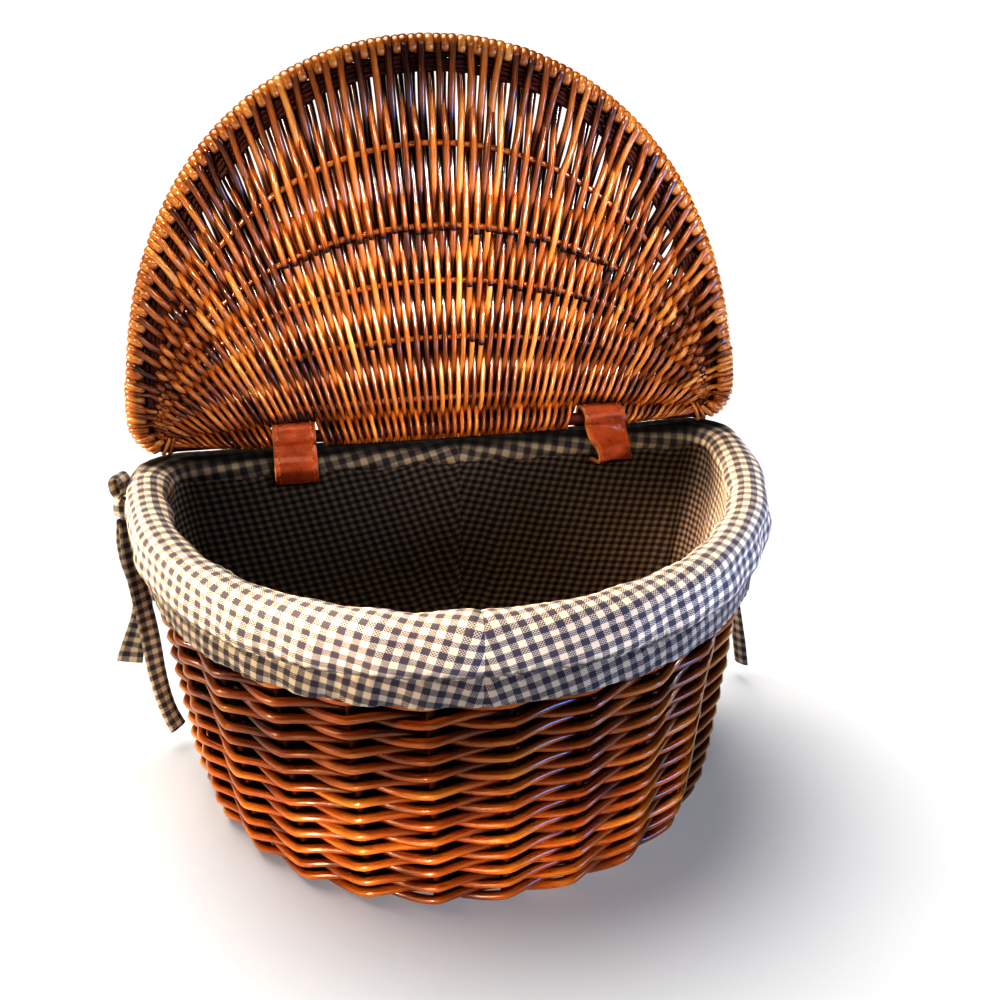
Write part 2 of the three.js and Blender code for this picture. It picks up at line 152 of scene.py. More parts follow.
def flat_oval(count: int) -> Array:
    """Points of a flat oval section, -1 to 1 both ways: (cos a)^0.7 and (sin a)^0.8 with their signs."""
    turn = 2 * np.pi * np.arange(count) / count
    return np.stack([swell(np.cos(turn), 0.7), swell(np.sin(turn), 0.8)], axis=1)


def at_distance(line: Array, distance: Array) -> Array:
    """Points of a line, or rows that go with it, at given distances along it."""
    reach = along(line[:, :3])
    return np.stack([np.interp(distance, reach, column) for column in line.T], axis=-1)


# ---- Meshes


def grid_faces(rows: int, columns: int, wrap_rows: bool = False, wrap_columns: bool = False) -> Array:
    """Corners of the faces of a grid whose point (i, j) has the index i * columns + j.

    Args:
        rows: points one way.
        columns: points the other way.
        wrap_rows: whether the last row joins the first.
        wrap_columns: whether the last column joins the first.

    Returns:
        One face a row: (i, j), (i, j+1), (i+1, j+1), (i+1, j).
    """
    steps = np.arange(rows if wrap_rows else rows - 1), np.arange(columns if wrap_columns else columns - 1)
    i, j = np.meshgrid(*steps, indexing="ij")
    next_i, next_j = (i + 1) % rows, (j + 1) % columns
    corners = [i * columns + j, i * columns + next_j, next_i * columns + next_j, next_i * columns + j]
    return np.stack(corners, axis=-1).reshape(-1, 4)


def grid_uv(across: Array, down: Array) -> Array:
    """Texture places of a grid's face corners, in the order of grid_faces.

    Args:
        across: first coordinate of each point; a wrapped grid has the closing row or column as well.
        down: second coordinate, broadcast to the same shape.

    Returns:
        Rows of four corners with two numbers each.
    """
    both = np.stack(np.broadcast_arrays(across, down), axis=-1)
    corners = [both[:-1, :-1], both[:-1, 1:], both[1:, 1:], both[1:, :-1]]
    return np.stack(corners, axis=-2).reshape(-1, 4, 2)


@dataclass
class Shape:
    """Points and faces of a piece, in millimetres, before they become a mesh.

    Attributes:
        points: one point a row.
        faces: arrays of faces, each with its own number of corners.
        uv: texture places of the corners, one array for each array of faces, in metres.
        tone: lightness of each point, 0 to 1.
        kind: index of the finish for each array of faces, one number or one a face.
    """

    points: Array
    faces: list[Array]
    uv: list[Array]
    tone: Array
    kind: list[Array | int]

    @staticmethod
    def joined(shapes: list["Shape"]) -> "Shape":
        """Several shapes as one, with the indices of their faces moved on."""
        starts = np.cumsum([0] + [len(shape.points) for shape in shapes])
        return Shape(
            np.concatenate([shape.points for shape in shapes]),
            [faces + start for shape, start in zip(shapes, starts) for faces in shape.faces],
            [uv for shape in shapes for uv in shape.uv],
            np.concatenate([shape.tone for shape in shapes]),
            [kind for shape in shapes for kind in shape.kind],
        )

    def piece(self, name: str, *finishes: bpy.types.Material) -> bpy.types.Object:
        """Makes the mesh and its object, at the origin, with faces of four corners shaded smooth.

        Args:
            name: name of the piece.
            finishes: materials, in the order of kind.

        Returns:
            The new object, linked to the scene.
        """
        mesh = bpy.data.meshes.new(name)
        sizes = np.concatenate([np.full(len(faces), faces.shape[1]) for faces in self.faces])
        starts = np.concatenate([[0], np.cumsum(sizes)[:-1]])
        corners = np.concatenate([faces.ravel() for faces in self.faces])
        mesh.vertices.add(len(self.points))
        mesh.vertices.foreach_set("co", (self.points * MM).astype(np.float32).ravel())
        mesh.loops.add(len(corners))
        mesh.polygons.add(len(sizes))
        mesh.polygons.foreach_set("loop_start", starts.astype(np.int32))
        mesh.polygons.foreach_set("vertices", corners.astype(np.int32))
        mesh.polygons.foreach_set("use_smooth", sizes == 4)
        kinds = np.concatenate([np.broadcast_to(kind, len(faces)) for kind, faces in zip(self.kind, self.faces)])
        mesh.polygons.foreach_set("material_index", kinds.astype(np.int32))
        layer = mesh.uv_layers.new(name="weave")
        places = np.concatenate([uv.reshape(-1, 2) for uv in self.uv])
        layer.uv.foreach_set("vector", places.astype(np.float32).ravel())
        tone = mesh.attributes.new("tone", "FLOAT", "POINT")
        tone.data.foreach_set("value", self.tone.astype(np.float32))
        mesh.update(calc_edges=True)
        mesh.validate()
        for finish in finishes:
            mesh.materials.append(finish)
        made = bpy.data.objects.new(name, mesh)
        bpy.context.scene.collection.objects.link(made)
        LOG.info("%s: %d points, %d faces", name, len(self.points), len(sizes))
        return made


def tubes(
    paths: Array, radii: Array | float, side: Array, sides: int, tone: Array | float, closed: bool = False,
    flat: Array | float = 1.0,
) -> Shape:
    """Round rods: at each point of a path a ring point = path + radius (cos a * across + sin a * over).

    Across is `side` made square to the path, and over is path direction x across.

    Args:
        paths: (rods, points, 3).
        radii: radius at each point, broadcast to (rods, points).
        side: a direction that is never along the path, broadcast to paths.
        sides: points of a ring.
        tone: lightness, broadcast to (rods, points).
        closed: whether each path is a loop.
        flat: thickness of the rod against its width, broadcast to (rods, points).

    Returns:
        The rods, capped unless they are closed.
    """
    rods, count = paths.shape[:2]
    if closed:
        ahead = np.roll(paths, -1, axis=1) - np.roll(paths, 1, axis=1)
    else:
        ahead = np.gradient(paths, axis=1)
    ahead = unit(ahead)
    across = np.broadcast_to(side, paths.shape)
    across = unit(across - (across * ahead).sum(-1, keepdims=True) * ahead)
    over = np.cross(ahead, across)
    turn = 2 * np.pi * np.arange(sides) / sides
    radii = np.broadcast_to(radii, (rods, count))[..., None, None]
    flat = np.broadcast_to(flat, (rods, count))[..., None, None]
    circle = np.cos(turn)[:, None] * across[:, :, None] + flat * np.sin(turn)[:, None] * over[:, :, None]
    points = (paths[:, :, None] + radii * circle).reshape(-1, 3)
    first = (np.arange(rods) * count * sides)[:, None, None]
    faces = (grid_faces(count, sides, closed, True)[None] + first).reshape(-1, 4)
    steps = np.linalg.norm(np.diff(paths, axis=1, append=paths[:, :1] if closed else paths[:, -1:]), axis=2)
    reach = np.concatenate([np.zeros((rods, 1)), np.cumsum(steps, axis=1)], axis=1)
    reach = reach if closed else reach[:, :-1]
    reach = reach + 37.0 * np.arange(rods)[:, None]  # so that no two rods share their grain
    long = np.broadcast_to(reach[..., None] * MM, reach.shape + (sides + 1,))
    round_it = np.broadcast_to(np.arange(sides + 1) / sides, long.shape)
    both = np.stack([long, round_it], axis=-1)
    uv = np.stack([both[:, :-1, :-1], both[:, :-1, 1:], both[:, 1:, 1:], both[:, 1:, :-1]], axis=-2)
    tones = np.repeat(np.broadcast_to(tone, (rods, count)).reshape(-1), sides)
    shape = Shape(points, [faces], [uv.reshape(-1, 4, 2)], tones, [0])
    if not closed:
        ring = np.arange(sides)
        low = first[:, 0] + ring[::-1]
        high = first[:, 0] + (count - 1) * sides + ring
        caps = np.concatenate([low, high])
        ends = np.concatenate([long[:, 0, 0], long[:, -1, 0]])
        spots = np.stack([np.repeat(ends[:, None], sides, 1), np.tile(ring / sides, (2 * rods, 1))], axis=-1)
        shape.faces.append(caps)
        shape.uv.append(spots)
        shape.kind.append(0)
    return shape


def attach(piece: bpy.types.Object, body: Body, slot: Slot, *replaced: str) -> None:
    """Rides a piece on a body and hides the solids that it stands for.

    Args:
        piece: the piece.
        body: the body that carries it.
        slot: its material slot; not used.
        replaced: names of the solids.
    """
    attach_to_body(piece, body.value)
    if replaced:
        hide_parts(*replaced)


# ---- Finishes


def linear(code: str) -> tuple[float, float, float, float]:
    """A colour from its sRGB hex code, made linear.

    Args:
        code: a hash sign and six hex digits.

    Returns:
        Red, green and blue, and alpha 1.
    """
    parts = np.array([int(code[k : k + 2], 16) for k in (1, 3, 5)]) / 255
    parts = np.where(parts <= 0.04045, parts / 12.92, ((parts + 0.055) / 1.055) ** 2.4)
    return (*parts.tolist(), 1.0)


def add(tree: bpy.types.NodeTree, kind: str, settings: dict[str, Any] | None = None, **inputs: Any) -> bpy.types.Node:
    """Adds a node to a tree, with its settings and links.

    Args:
        tree: the material's or world's node tree.
        kind: the node's type name without its ShaderNode prefix.
        settings: properties of the node; "stops" fills a colour ramp with pairs of a place and a hex code.
        inputs: values, sockets, or nodes for their first socket; by the input's name with _ for a space, or
            in_0, in_1 by number.

    Returns:
        The new node.
    """
    node = tree.nodes.new("ShaderNode" + kind)
    for name, value in (settings or {}).items():
        if name == "stops":
            ramp = node.color_ramp.elements
            while len(ramp) < len(value):
                ramp.new(0.5)
            for stop, (place, code) in zip(ramp, value):
                stop.position, stop.color = place, linear(code)
        else:
            setattr(node, name, value)
    for name, value in inputs.items():
        key = int(name[3:]) if name.startswith("in_") else name.replace("_", " ")
        socket = node.inputs[key]
        source = value.outputs[0] if isinstance(value, bpy.types.Node) else value
        if isinstance(source, bpy.types.NodeSocket):
            tree.links.new(source, socket)
        else:
            socket.default_value = source
    return node


def new_material(name: str) -> tuple[bpy.types.Material, bpy.types.NodeTree]:
    """Makes an empty node material.

    Args:
        name: name of the material.

    Returns:
        The material and its tree.
    """
    material = bpy.data.materials.new(name)
    material.use_nodes = True
    material.node_tree.nodes.clear()
    return material, material.node_tree


@dataclass(frozen=True)
class VarnishedWillow:
    """Peeled willow rod, stained red-brown and varnished.

    The rod's own grain runs along it as fine streaks, the stain is uneven from rod to rod and darker at small
    knots, and the varnish lays a clear gloss over it.
    """

    name: str = "varnished_willow"
    darkest: str = "#0e0502"
    deep: str = "#4c2107"
    middle: str = "#a95c16"
    light: str = "#d18c2e"
    palest: str = "#ecc078"
    roughness: float = 0.32
    gloss: float = 0.7
    streak_long: float = 28.0  # mm
    streaks_round: float = 14.0
    knot_long: float = 5.0  # mm
    knots_round: float = 5.0
    patch: float = 30.0  # mm, of uneven stain over neighbouring rods

    def material(self) -> bpy.types.Material:
        """Builds the material.

        Returns:
            The new material.
        """
        material, tree = new_material(self.name)
        uv = add(tree, "UVMap", {"uv_map": "weave"})
        # Tone is each rod's own lightness; in the lid's weave and in the wall it also holds painted shade.
        tone = add(tree, "Attribute", {"attribute_name": "tone"}).outputs["Fac"]
        place = add(tree, "TexCoord").outputs["Object"]
        # Streaks of grain are a noise drawn out along the rod.
        drawn = add(tree, "Mapping", Vector=uv, Scale=(1 / (self.streak_long * MM), self.streaks_round, 1.0))
        grain = add(tree, "TexNoise", Vector=drawn, Scale=1.0, Detail=4.0, Roughness=0.6)
        patch = add(tree, "TexNoise", Vector=place, Scale=1 / (self.patch * MM), Detail=2.0)
        # Knots and scars are short dark dashes where a stretched noise peaks.
        drawn = add(tree, "Mapping", Vector=uv, Scale=(1 / (self.knot_long * MM), self.knots_round, 1.0))
        knot = add(tree, "TexNoise", Vector=drawn, Scale=1.0, Detail=2.0, Roughness=0.5)
        streak = add(tree, "MapRange", Value=grain, **NOISE_SPAN, To_Min=-0.13, To_Max=0.13)
        cloud = add(tree, "MapRange", Value=patch, **NOISE_SPAN, To_Min=-0.08, To_Max=0.08)
        scar = add(tree, "MapRange", Value=knot, From_Min=0.68, From_Max=0.78, To_Min=0.0, To_Max=0.28)
        level = add(tree, "Math", {"operation": "ADD"}, in_0=tone, in_1=streak)
        level = add(tree, "Math", {"operation": "ADD"}, in_0=level, in_1=cloud)
        level = add(tree, "Math", {"operation": "SUBTRACT"}, in_0=level, in_1=scar)
        codes = (self.darkest, self.deep, self.middle, self.light, self.palest)
        colour = add(tree, "ValToRGB", {"stops": list(zip((0.0, 0.2, 0.5, 0.75, 1.0), codes))}, Fac=level)
        rough = add(
            tree, "MapRange", Value=grain, **NOISE_SPAN, To_Min=self.roughness - 0.08, To_Max=self.roughness + 0.12
        )
        bump = add(tree, "Bump", Height=grain, Strength=0.35, Distance=0.4 * MM)
        shader = add(
            tree, "BsdfPrincipled", Base_Color=colour, Normal=bump, Roughness=rough, IOR=1.5, Coat_Weight=self.gloss,
            Coat_Roughness=0.16,
        )
        add(tree, "OutputMaterial", Surface=shader)
        return material


@dataclass(frozen=True)
class Gingham:
    """Plain-woven cotton gingham, yarn-dyed: cream and ink stripes both ways make checks of three depths.

    Where the two stripes differ, single threads of both colours show, which the eye reads as a hatched grey.
    """

    name: str = "cotton_gingham"
    cream: str = "#f0e0c6"
    ink: str = "#605d66"
    check: float = 3.25  # mm, one stripe
    thread: float = 0.65  # mm; a real thread is about 0.4 mm, drawn coarser so that it shows
    wander: float = 0.6  # mm, how far a yarn strays from its line
    stray: float = 11.0  # mm, over which it does
    slub: float = 1.6  # mm, thick places of the yarn
    wash: float = 50.0  # mm, uneven patches of cloth that has been washed

    def material(self) -> bpy.types.Material:
        """Builds the material: at each crossing of threads a checkerboard says which stripe's colour is on top.

        Returns:
            The new material.
        """
        material, tree = new_material(self.name)
        uv = add(tree, "UVMap", {"uv_map": "weave"})
        tone = add(tree, "Attribute", {"attribute_name": "tone"}).outputs["Fac"]
        place = add(tree, "TexCoord").outputs["Object"]
        stray = add(tree, "TexNoise", Vector=uv, Scale=1 / (self.stray * MM), Detail=2.0).outputs["Color"]
        by = (self.wander * MM, self.wander * MM, 0.0)
        moved = add(tree, "VectorMath", {"operation": "MULTIPLY_ADD"}, in_0=stray, in_1=by, in_2=uv)
        split = add(tree, "SeparateXYZ", Vector=moved)
        pair = 1 / (2 * self.check * MM)  # pairs of stripes in a metre
        stripes = []
        for axis in ("X", "Y"):
            turns = add(tree, "Math", {"operation": "MULTIPLY"}, in_0=split.outputs[axis], in_1=pair)
            part = add(tree, "Math", {"operation": "FRACT"}, in_0=turns)
            stripes.append(add(tree, "Math", {"operation": "LESS_THAN"}, in_0=part, in_1=0.5))
        black, white = (0, 0, 0, 1), (1, 1, 1, 1)
        over = add(tree, "TexChecker", Vector=uv, Color1=black, Color2=white, Scale=1 / (self.thread * MM))
        over = over.outputs["Fac"]
        lap = add(tree, "MapRange", Value=over, To_Min=0.25, To_Max=0.75)
        on_top = add(tree, "Mix", {"data_type": "FLOAT"}, in_0=lap, in_2=stripes[0], in_3=stripes[1])
        slub = add(tree, "TexNoise", Vector=uv, Scale=1 / (self.slub * MM), Detail=3.0)
        fleck = add(tree, "MapRange", Value=slub, From_Min=0.25, From_Max=0.75, To_Min=-0.1, To_Max=0.1)
        level = add(tree, "Math", {"operation": "ADD"}, in_0=on_top, in_1=fleck)
        colour = add(tree, "ValToRGB", {"stops": [(0.06, self.cream), (0.75, self.ink)]}, Fac=level)
        wash = add(tree, "TexNoise", Vector=place, Scale=1 / (self.wash * MM), Detail=2.0)
        shade = add(tree, "MapRange", Value=wash, **NOISE_SPAN, To_Min=0.92, To_Max=1.04)
        # Tone is 0.5 for cloth without painted shade and less where shade is painted into it: in the crease, on the
        # band below it, under the lid and inside.
        painted_shade = add(tree, "Math", {"operation": "MULTIPLY"}, in_0=tone, in_1=1 / UNSHADED)
        depth = add(tree, "Math", {"operation": "MULTIPLY"}, in_0=shade, in_1=painted_shade)
        tinted = add(tree, "VectorMath", {"operation": "SCALE"}, in_0=colour, Scale=depth)
        relief = add(tree, "Math", {"operation": "ADD"}, in_0=over, in_1=slub)
        bump = add(tree, "Bump", Height=relief, Strength=0.3, Distance=0.25 * MM)
        shader = add(
            tree, "BsdfPrincipled", Base_Color=tinted, Normal=bump, Roughness=0.92, Specular_IOR_Level=0.25,
            Sheen_Weight=0.12, Sheen_Roughness=0.5,
        )
        add(tree, "OutputMaterial", Surface=shader)
        return material


@dataclass(frozen=True)
class HarnessLeather:
    """Vegetable-tanned leather: fine pores about 0.6 mm apart, a waxed half gloss and darker rubbed patches."""

    name: str = "harness_leather"
    dark: str = "#6a2c16"
    light: str = "#ab5a30"
    roughness: float = 0.3
    pore: float = 0.6  # mm
    relief: float = 0.22
    rub: float = 8.0  # mm, of a rubbed patch

    def material(self) -> bpy.types.Material:
        """Builds the material.

        Returns:
            The new material.
        """
        material, tree = new_material(self.name)
        place = add(tree, "TexCoord").outputs["Object"]
        pore = add(tree, "TexVoronoi", Vector=place, Scale=1 / (self.pore * MM))
        rub = add(tree, "TexNoise", Vector=place, Scale=1 / (self.rub * MM), Detail=4.0)
        level = add(tree, "Math", {"operation": "MULTIPLY_ADD"}, in_0=pore, in_1=0.25, in_2=rub)
        colour = add(tree, "ValToRGB", {"stops": [(0.3, self.dark), (0.75, self.light)]}, Fac=level)
        rough = add(
            tree, "MapRange", Value=rub, **NOISE_SPAN, To_Min=self.roughness - 0.06, To_Max=self.roughness + 0.12
        )
        bump = add(tree, "Bump", Height=pore, Strength=self.relief, Distance=0.3 * MM)
        shader = add(tree, "BsdfPrincipled", Base_Color=colour, Normal=bump, Roughness=rough, IOR=1.46)
        add(tree, "OutputMaterial", Surface=shader)
        return material


@dataclass(frozen=True)
class WaxedThread:
    """Twisted linen sewing thread, waxed: two plies that show as slanting bands along the thread."""

    name: str = "waxed_thread"
    dark: str = "#8f4512"
    light: str = "#d98a3c"
    lay: float = 0.9  # mm, one turn of the plies

    def material(self) -> bpy.types.Material:
        """Builds the material.

        Returns:
            The new material.
        """
        material, tree = new_material(self.name)
        uv = add(tree, "UVMap", {"uv_map": "weave"})
        slant = add(tree, "Mapping", Vector=uv, Scale=(1 / (self.lay * MM), 1.0, 1.0))
        ply = add(tree, "TexWave", {"bands_direction": "DIAGONAL"}, Vector=slant, Scale=1.0, Distortion=0.6)
        ply = ply.outputs["Fac"]
        colour = add(tree, "ValToRGB", {"stops": [(0.2, self.dark), (0.8, self.light)]}, Fac=ply)
        bump = add(tree, "Bump", Height=ply, Strength=0.4, Distance=0.2 * MM)
        shader = add(tree, "BsdfPrincipled", Base_Color=colour, Normal=bump, Roughness=0.7, Sheen_Weight=0.2)
        add(tree, "OutputMaterial", Surface=shader)
        return material


@dataclass(frozen=True)
class PaleFloor:
    """Matt pale acrylic with the faintest tooth, lit from below so that shadows on it stay pale."""

    name: str = "pale_acrylic"
    colour: str = "#cdd0d3"
    glow: float = 0.27
    tooth: float = 2.0  # mm

    def material(self) -> bpy.types.Material:
        """Builds the material.

        Returns:
            The new material.
        """
        material, tree = new_material(self.name)
        place = add(tree, "TexCoord").outputs["Object"]
        tooth = add(tree, "TexNoise", Vector=place, Scale=1 / (self.tooth * MM), Detail=2.0)
        bump = add(tree, "Bump", Height=tooth, Strength=0.05, Distance=0.2 * MM)
        colour = linear(self.colour)
        shader = add(
            tree, "BsdfPrincipled", Base_Color=colour, Normal=bump, Roughness=0.85, Specular_IOR_Level=0.2,
            Emission_Color=colour, Emission_Strength=self.glow,
        )
        add(tree, "OutputMaterial", Surface=shader)
        return material


@dataclass
class Finishes:
    """The materials that the pieces share, made once."""

    willow: bpy.types.Material
    thin_willow: bpy.types.Material
    painted_shade_willow: bpy.types.Material
    gingham: bpy.types.Material
    painted_shade_side: bpy.types.Material
    leather: bpy.types.Material
    raw_edge: bpy.types.Material
    suede: bpy.types.Material
    stitching: bpy.types.Material

    @staticmethod
    def made() -> "Finishes":
        """Makes them all."""
        return Finishes(
            willow=VarnishedWillow().material(),
            thin_willow=VarnishedWillow(
                name="thin_varnished_willow", darkest="#2a1106", deep="#54290c", middle="#a76327", light="#cf8f45",
                palest="#ecc587", roughness=0.3, gloss=0.8,
            ).material(),
            # A copy of the willow painted dark and matt as in shade, for the stakes, the bow's core and inner rods,
            # the hinge rod, cut ends and the border.
            painted_shade_willow=VarnishedWillow(
                name="shaded_willow", deep="#260c02", middle="#5a2205", light="#8a430f", roughness=0.6, gloss=0.0
            ).material(),
            gingham=Gingham().material(),
            # The cloth's side against the wall: the same gingham painted dark as in shade.
            painted_shade_side=Gingham("gingham_wrong_side", "#2b211a", "#0d0b0c").material(),
            leather=HarnessLeather().material(),
            raw_edge=HarnessLeather("raw_leather_edge", "#6b3f1c", "#b98a52", 0.7, 0.4, 0.4).material(),
            suede=HarnessLeather("suede_backing", "#1c1a18", "#3a3631", 0.85, 0.5, 0.4).material(),
            stitching=WaxedThread().material(),
        )


# ---- Basket body


@dataclass(frozen=True)
class BasketForm:
    """The basket's D: a bowed front, two round back corners and a straight back, wider at the rim.

    A stage runs anticlockwise from above: 0 to 1 the front from left to right, 1 to 2 the right corner, 2 to 3
    the back, 3 to 4 the left corner.
    """

    foot: tuple[float, float, float, float] = (149.0, 89.0, -91.5, 26.0)  # half width, back, front, corner
    rim: tuple[float, float, float, float] = (168.5, 101.0, -101.5, 30.0)
    rim_z: float = 165.0
    bow_power: float = 0.95

    def spot(self, stage: Array, out: Array, z: Array) -> Array:
        """Points of the D at a height, moved outwards.

        Args:
            stage: where round the D, 0 to 4.
            out: how far outside the wall's face.
            z: height, which sets the size of the D.

        Returns:
            Points in the broadcast shape of the arguments, with x, y, z last.
        """
        stage, out, z = np.broadcast_arrays(np.mod(stage, 4.0), out, z)
        half, back, front, corner = (a + (b - a) * z / self.rim_z for a, b in zip(self.foot, self.rim))
        half, back, front, corner = half + out, back + out, front - out, np.maximum(corner + out, 4.0)
        shoulder, inner = back - corner, half - corner
        part, f = np.floor(stage), stage - np.floor(stage)
        turn = np.pi * (1 + f)
        bow = (half * swell(np.cos(turn), self.bow_power),
               shoulder + (shoulder - front) * swell(np.sin(turn), self.bow_power))
        quarter = f * np.pi / 2
        right = inner + corner * np.cos(quarter), shoulder + corner * np.sin(quarter)
        straight = inner * (1 - 2 * f), back
        left = -inner - corner * np.sin(quarter), shoulder + corner * np.cos(quarter)
        where = [part == 0, part == 1, part == 2]
        x, y = (np.select(where, [bow[k], right[k], straight[k]], left[k]) for k in (0, 1))
        return np.stack([x, y, np.broadcast_to(z, x.shape)], axis=-1)

    @cached_property
    def table(self) -> tuple[Array, Array, Array, float]:
        """Stages, shares of the way round, x of the front, and the way round, at the middle of the wall.

        Returns:
            Stages, shares and x as rows of equal length, and the way round in millimetres.
        """
        stages = np.linspace(0, 4, 8001)
        points = self.spot(stages, -6.0, 82.0)
        reach = along(points)
        return stages, reach / reach[-1], points[:, 0], float(reach[-1])

    def place(self, share: Array, out: Array, z: Array) -> Array:
        """Points at a share of the way round, 0 at the left shoulder, moved outwards, at a height."""
        stages, shares = self.table[:2]
        return self.spot(np.interp(np.mod(share, 1.0), shares, stages), out, z)

    def front_share(self, x: float) -> float:
        """The share of the way round at which the front passes an x.

        Args:
            x: place across the front.

        Returns:
            The share, 0 to 1.
        """
        stages, shares, xs = self.table[:3]
        front = stages <= 1
        return float(np.interp(x, xs[front], shares[front]))

    def half_width(self, y: Array, out: float, z: float) -> Array:
        """Half the width of the D at a depth y: x of its right side, read at y.

        Args:
            y: depths.
            out: distance outwards from the D.
            z: height.

        Returns:
            One half width for each depth.
        """
        stages = np.linspace(0.5, 2.0, 3000)
        points = self.spot(stages, out, z)
        return np.interp(y, points[:, 1], points[:, 0])


@dataclass
class WovenWall:
    """Paired willow rods woven round upright stakes: at each stake one rod of a pair passes outside."""

    form: BasketForm
    rows: int = 15
    first_row: float = 6.0
    pitch: float = 10.4
    stakes: int = 22
    stake_at_x: float = 6.0  # one stake stands here at the front
    rod: float = 2.5
    stake: float = 2.5
    stake_ends: Span = (2.0, 167.0)  # heights
    middle: float = -6.8  # of the wall, from its face
    outer_reach: float = 5.1
    inner_reach: float = 3.5
    twist: float = 2.45
    samples: int = 12  # points of a rod for each stake

    def rods(self) -> Shape:
        """The paired rods.

        In the s-th stake's space a rod has the phase p = pi s, its partner p + pi. Its depth follows a rounded
        triangle wave, asin(0.985 cos p) / asin(0.985), and its height follows sin p, so the two twist round each
        other between stakes.

        Returns:
            Two closed rods for each row.
        """
        draw = np.random.default_rng(SEED)
        count = self.stakes * self.samples
        s = np.arange(count) / self.samples
        row = np.repeat(np.arange(self.rows), 2)[:, None]
        phase = np.pi * (s + np.tile([0, 1], self.rows)[:, None])
        wave = np.arcsin(0.985 * np.cos(phase)) / np.arcsin(0.985)
        reach = np.where(wave > 0, self.outer_reach, self.inner_reach)
        share = self.form.front_share(self.stake_at_x) + s / self.stakes
        turns = s / self.stakes
        sway = np.stack([ripple(turns, (2, 9), 4, SEED + k) for k in range(2 * self.rows)])
        inset = -3.2 * np.exp(-1.4 * row) - 1.6 * np.clip(row - 11.5, 0, 1)
        out = self.middle + inset + reach * wave + 0.35 * np.roll(sway, 3, axis=0)
        height = self.first_row + self.pitch * row + self.twist * np.sin(phase) + 0.45 * sway
        height = np.maximum(height, self.rod + 0.3)
        radius = self.rod * (1 + 0.07 * np.roll(sway, 7, axis=0) + draw.uniform(-0.05, 0.05, (2 * self.rows, 1)))
        tone = 0.52 + draw.uniform(-0.05, 0.05, (2 * self.rows, 1)) + 0.06 * np.roll(sway, 11, axis=0)
        strokes = np.repeat(draw.uniform(-0.06, 0.06, (2 * self.rows, self.stakes // 2)), 2 * self.samples, axis=1)
        # Painted shade: a rod is darker where it passes inside, behind the stakes; the strokes differ at random.
        tone = tone + np.roll(strokes, self.samples, axis=1) + 0.06 - 0.17 * (1 - wave)
        return tubes(self.form.place(share, out, height), radius, UP, 8, tone, closed=True)

    def uprights(self) -> Shape:
        """The stakes, straight from the foot to the rim in the middle of the wall.

        Returns:
            The stakes as rods.
        """
        share = self.form.front_share(self.stake_at_x) + np.arange(self.stakes)[:, None] / self.stakes
        height = np.linspace(*self.stake_ends, 14)[None]
        out = self.middle - 3.0 * np.exp(-height / 9.0)
        paths = self.form.place(share, out, height)
        radius = np.linspace(self.stake, self.stake * 0.9, 14)[None]
        return tubes(paths, radius, np.array([1.0, 0, 0]), 8, 0.42)

    def build(self, finishes: Finishes) -> None:
        """Makes the rods and the stakes."""
        attach(self.rods().piece("wall_rods", finishes.willow), Body.BASKET, Slot.WILLOW, "wall")
        # The stakes take the willow painted dark as in shade.
        attach(self.uprights().piece("wall_stakes", finishes.painted_shade_willow), Body.BASKET, Slot.WILLOW)


@dataclass
class WovenBase:
    """The bottom: thin rods across, woven plainly over and under flat-lying sticks."""

    form: BasketForm
    edge: float = -13.35  # from the wall's face
    stick: float = 1.9
    rod: float = 1.9
    sticks: int = 13
    pitch: float = 4.6
    samples: int = 66
    middle: float = 4.0  # height
    wave: float = 1.95
    rods_from: Span = (-74.0, 72.5)  # depths of the first and the last rod
    sticks_to: float = 125.0  # outermost sticks

    def build(self, finishes: Finishes) -> None:
        """Makes the bottom: a rod's height is 4 + 1.95 cos(pi x / stick spacing), turned over in the next row.

        Args:
            finishes: the shared materials.
        """
        depth = np.arange(*self.rods_from, self.pitch)[:, None]
        half = self.form.half_width(depth, self.edge, self.middle) - 2.0
        spacing = 2 * self.sticks_to / (self.sticks - 1)
        x = half * np.linspace(-1, 1, self.samples)[None]
        row = np.arange(len(depth))[:, None]
        z = self.middle + self.wave * np.cos(np.pi * (x / spacing + row))
        rods = np.stack([x, np.broadcast_to(depth, x.shape), z], axis=-1)
        draw = np.random.default_rng(SEED + 50)
        tone = 0.5 + draw.uniform(-0.1, 0.1, (len(depth), 1))
        across = tubes(rods, self.rod, UP, 7, tone)
        # The sticks run from an oval front, y = 62 - 138 sqrt(1 - (x / 137)^2), to a straight back.
        at = np.linspace(-self.sticks_to, self.sticks_to, self.sticks)[:, None]
        front, back = 62.0 - 138.0 * np.sqrt(1 - (at / 137.0) ** 2), 73.5
        y = front + (back - front) * np.linspace(0, 1, 12)[None]
        sticks = np.stack([np.broadcast_to(at, y.shape), y, np.full(y.shape, self.middle)], axis=-1)
        down = tubes(sticks, self.stick, UP, 7, 0.4)
        made = Shape.joined([across, down]).piece("base_weave", finishes.willow)
        attach(made, Body.BASKET, Slot.WILLOW, "base")


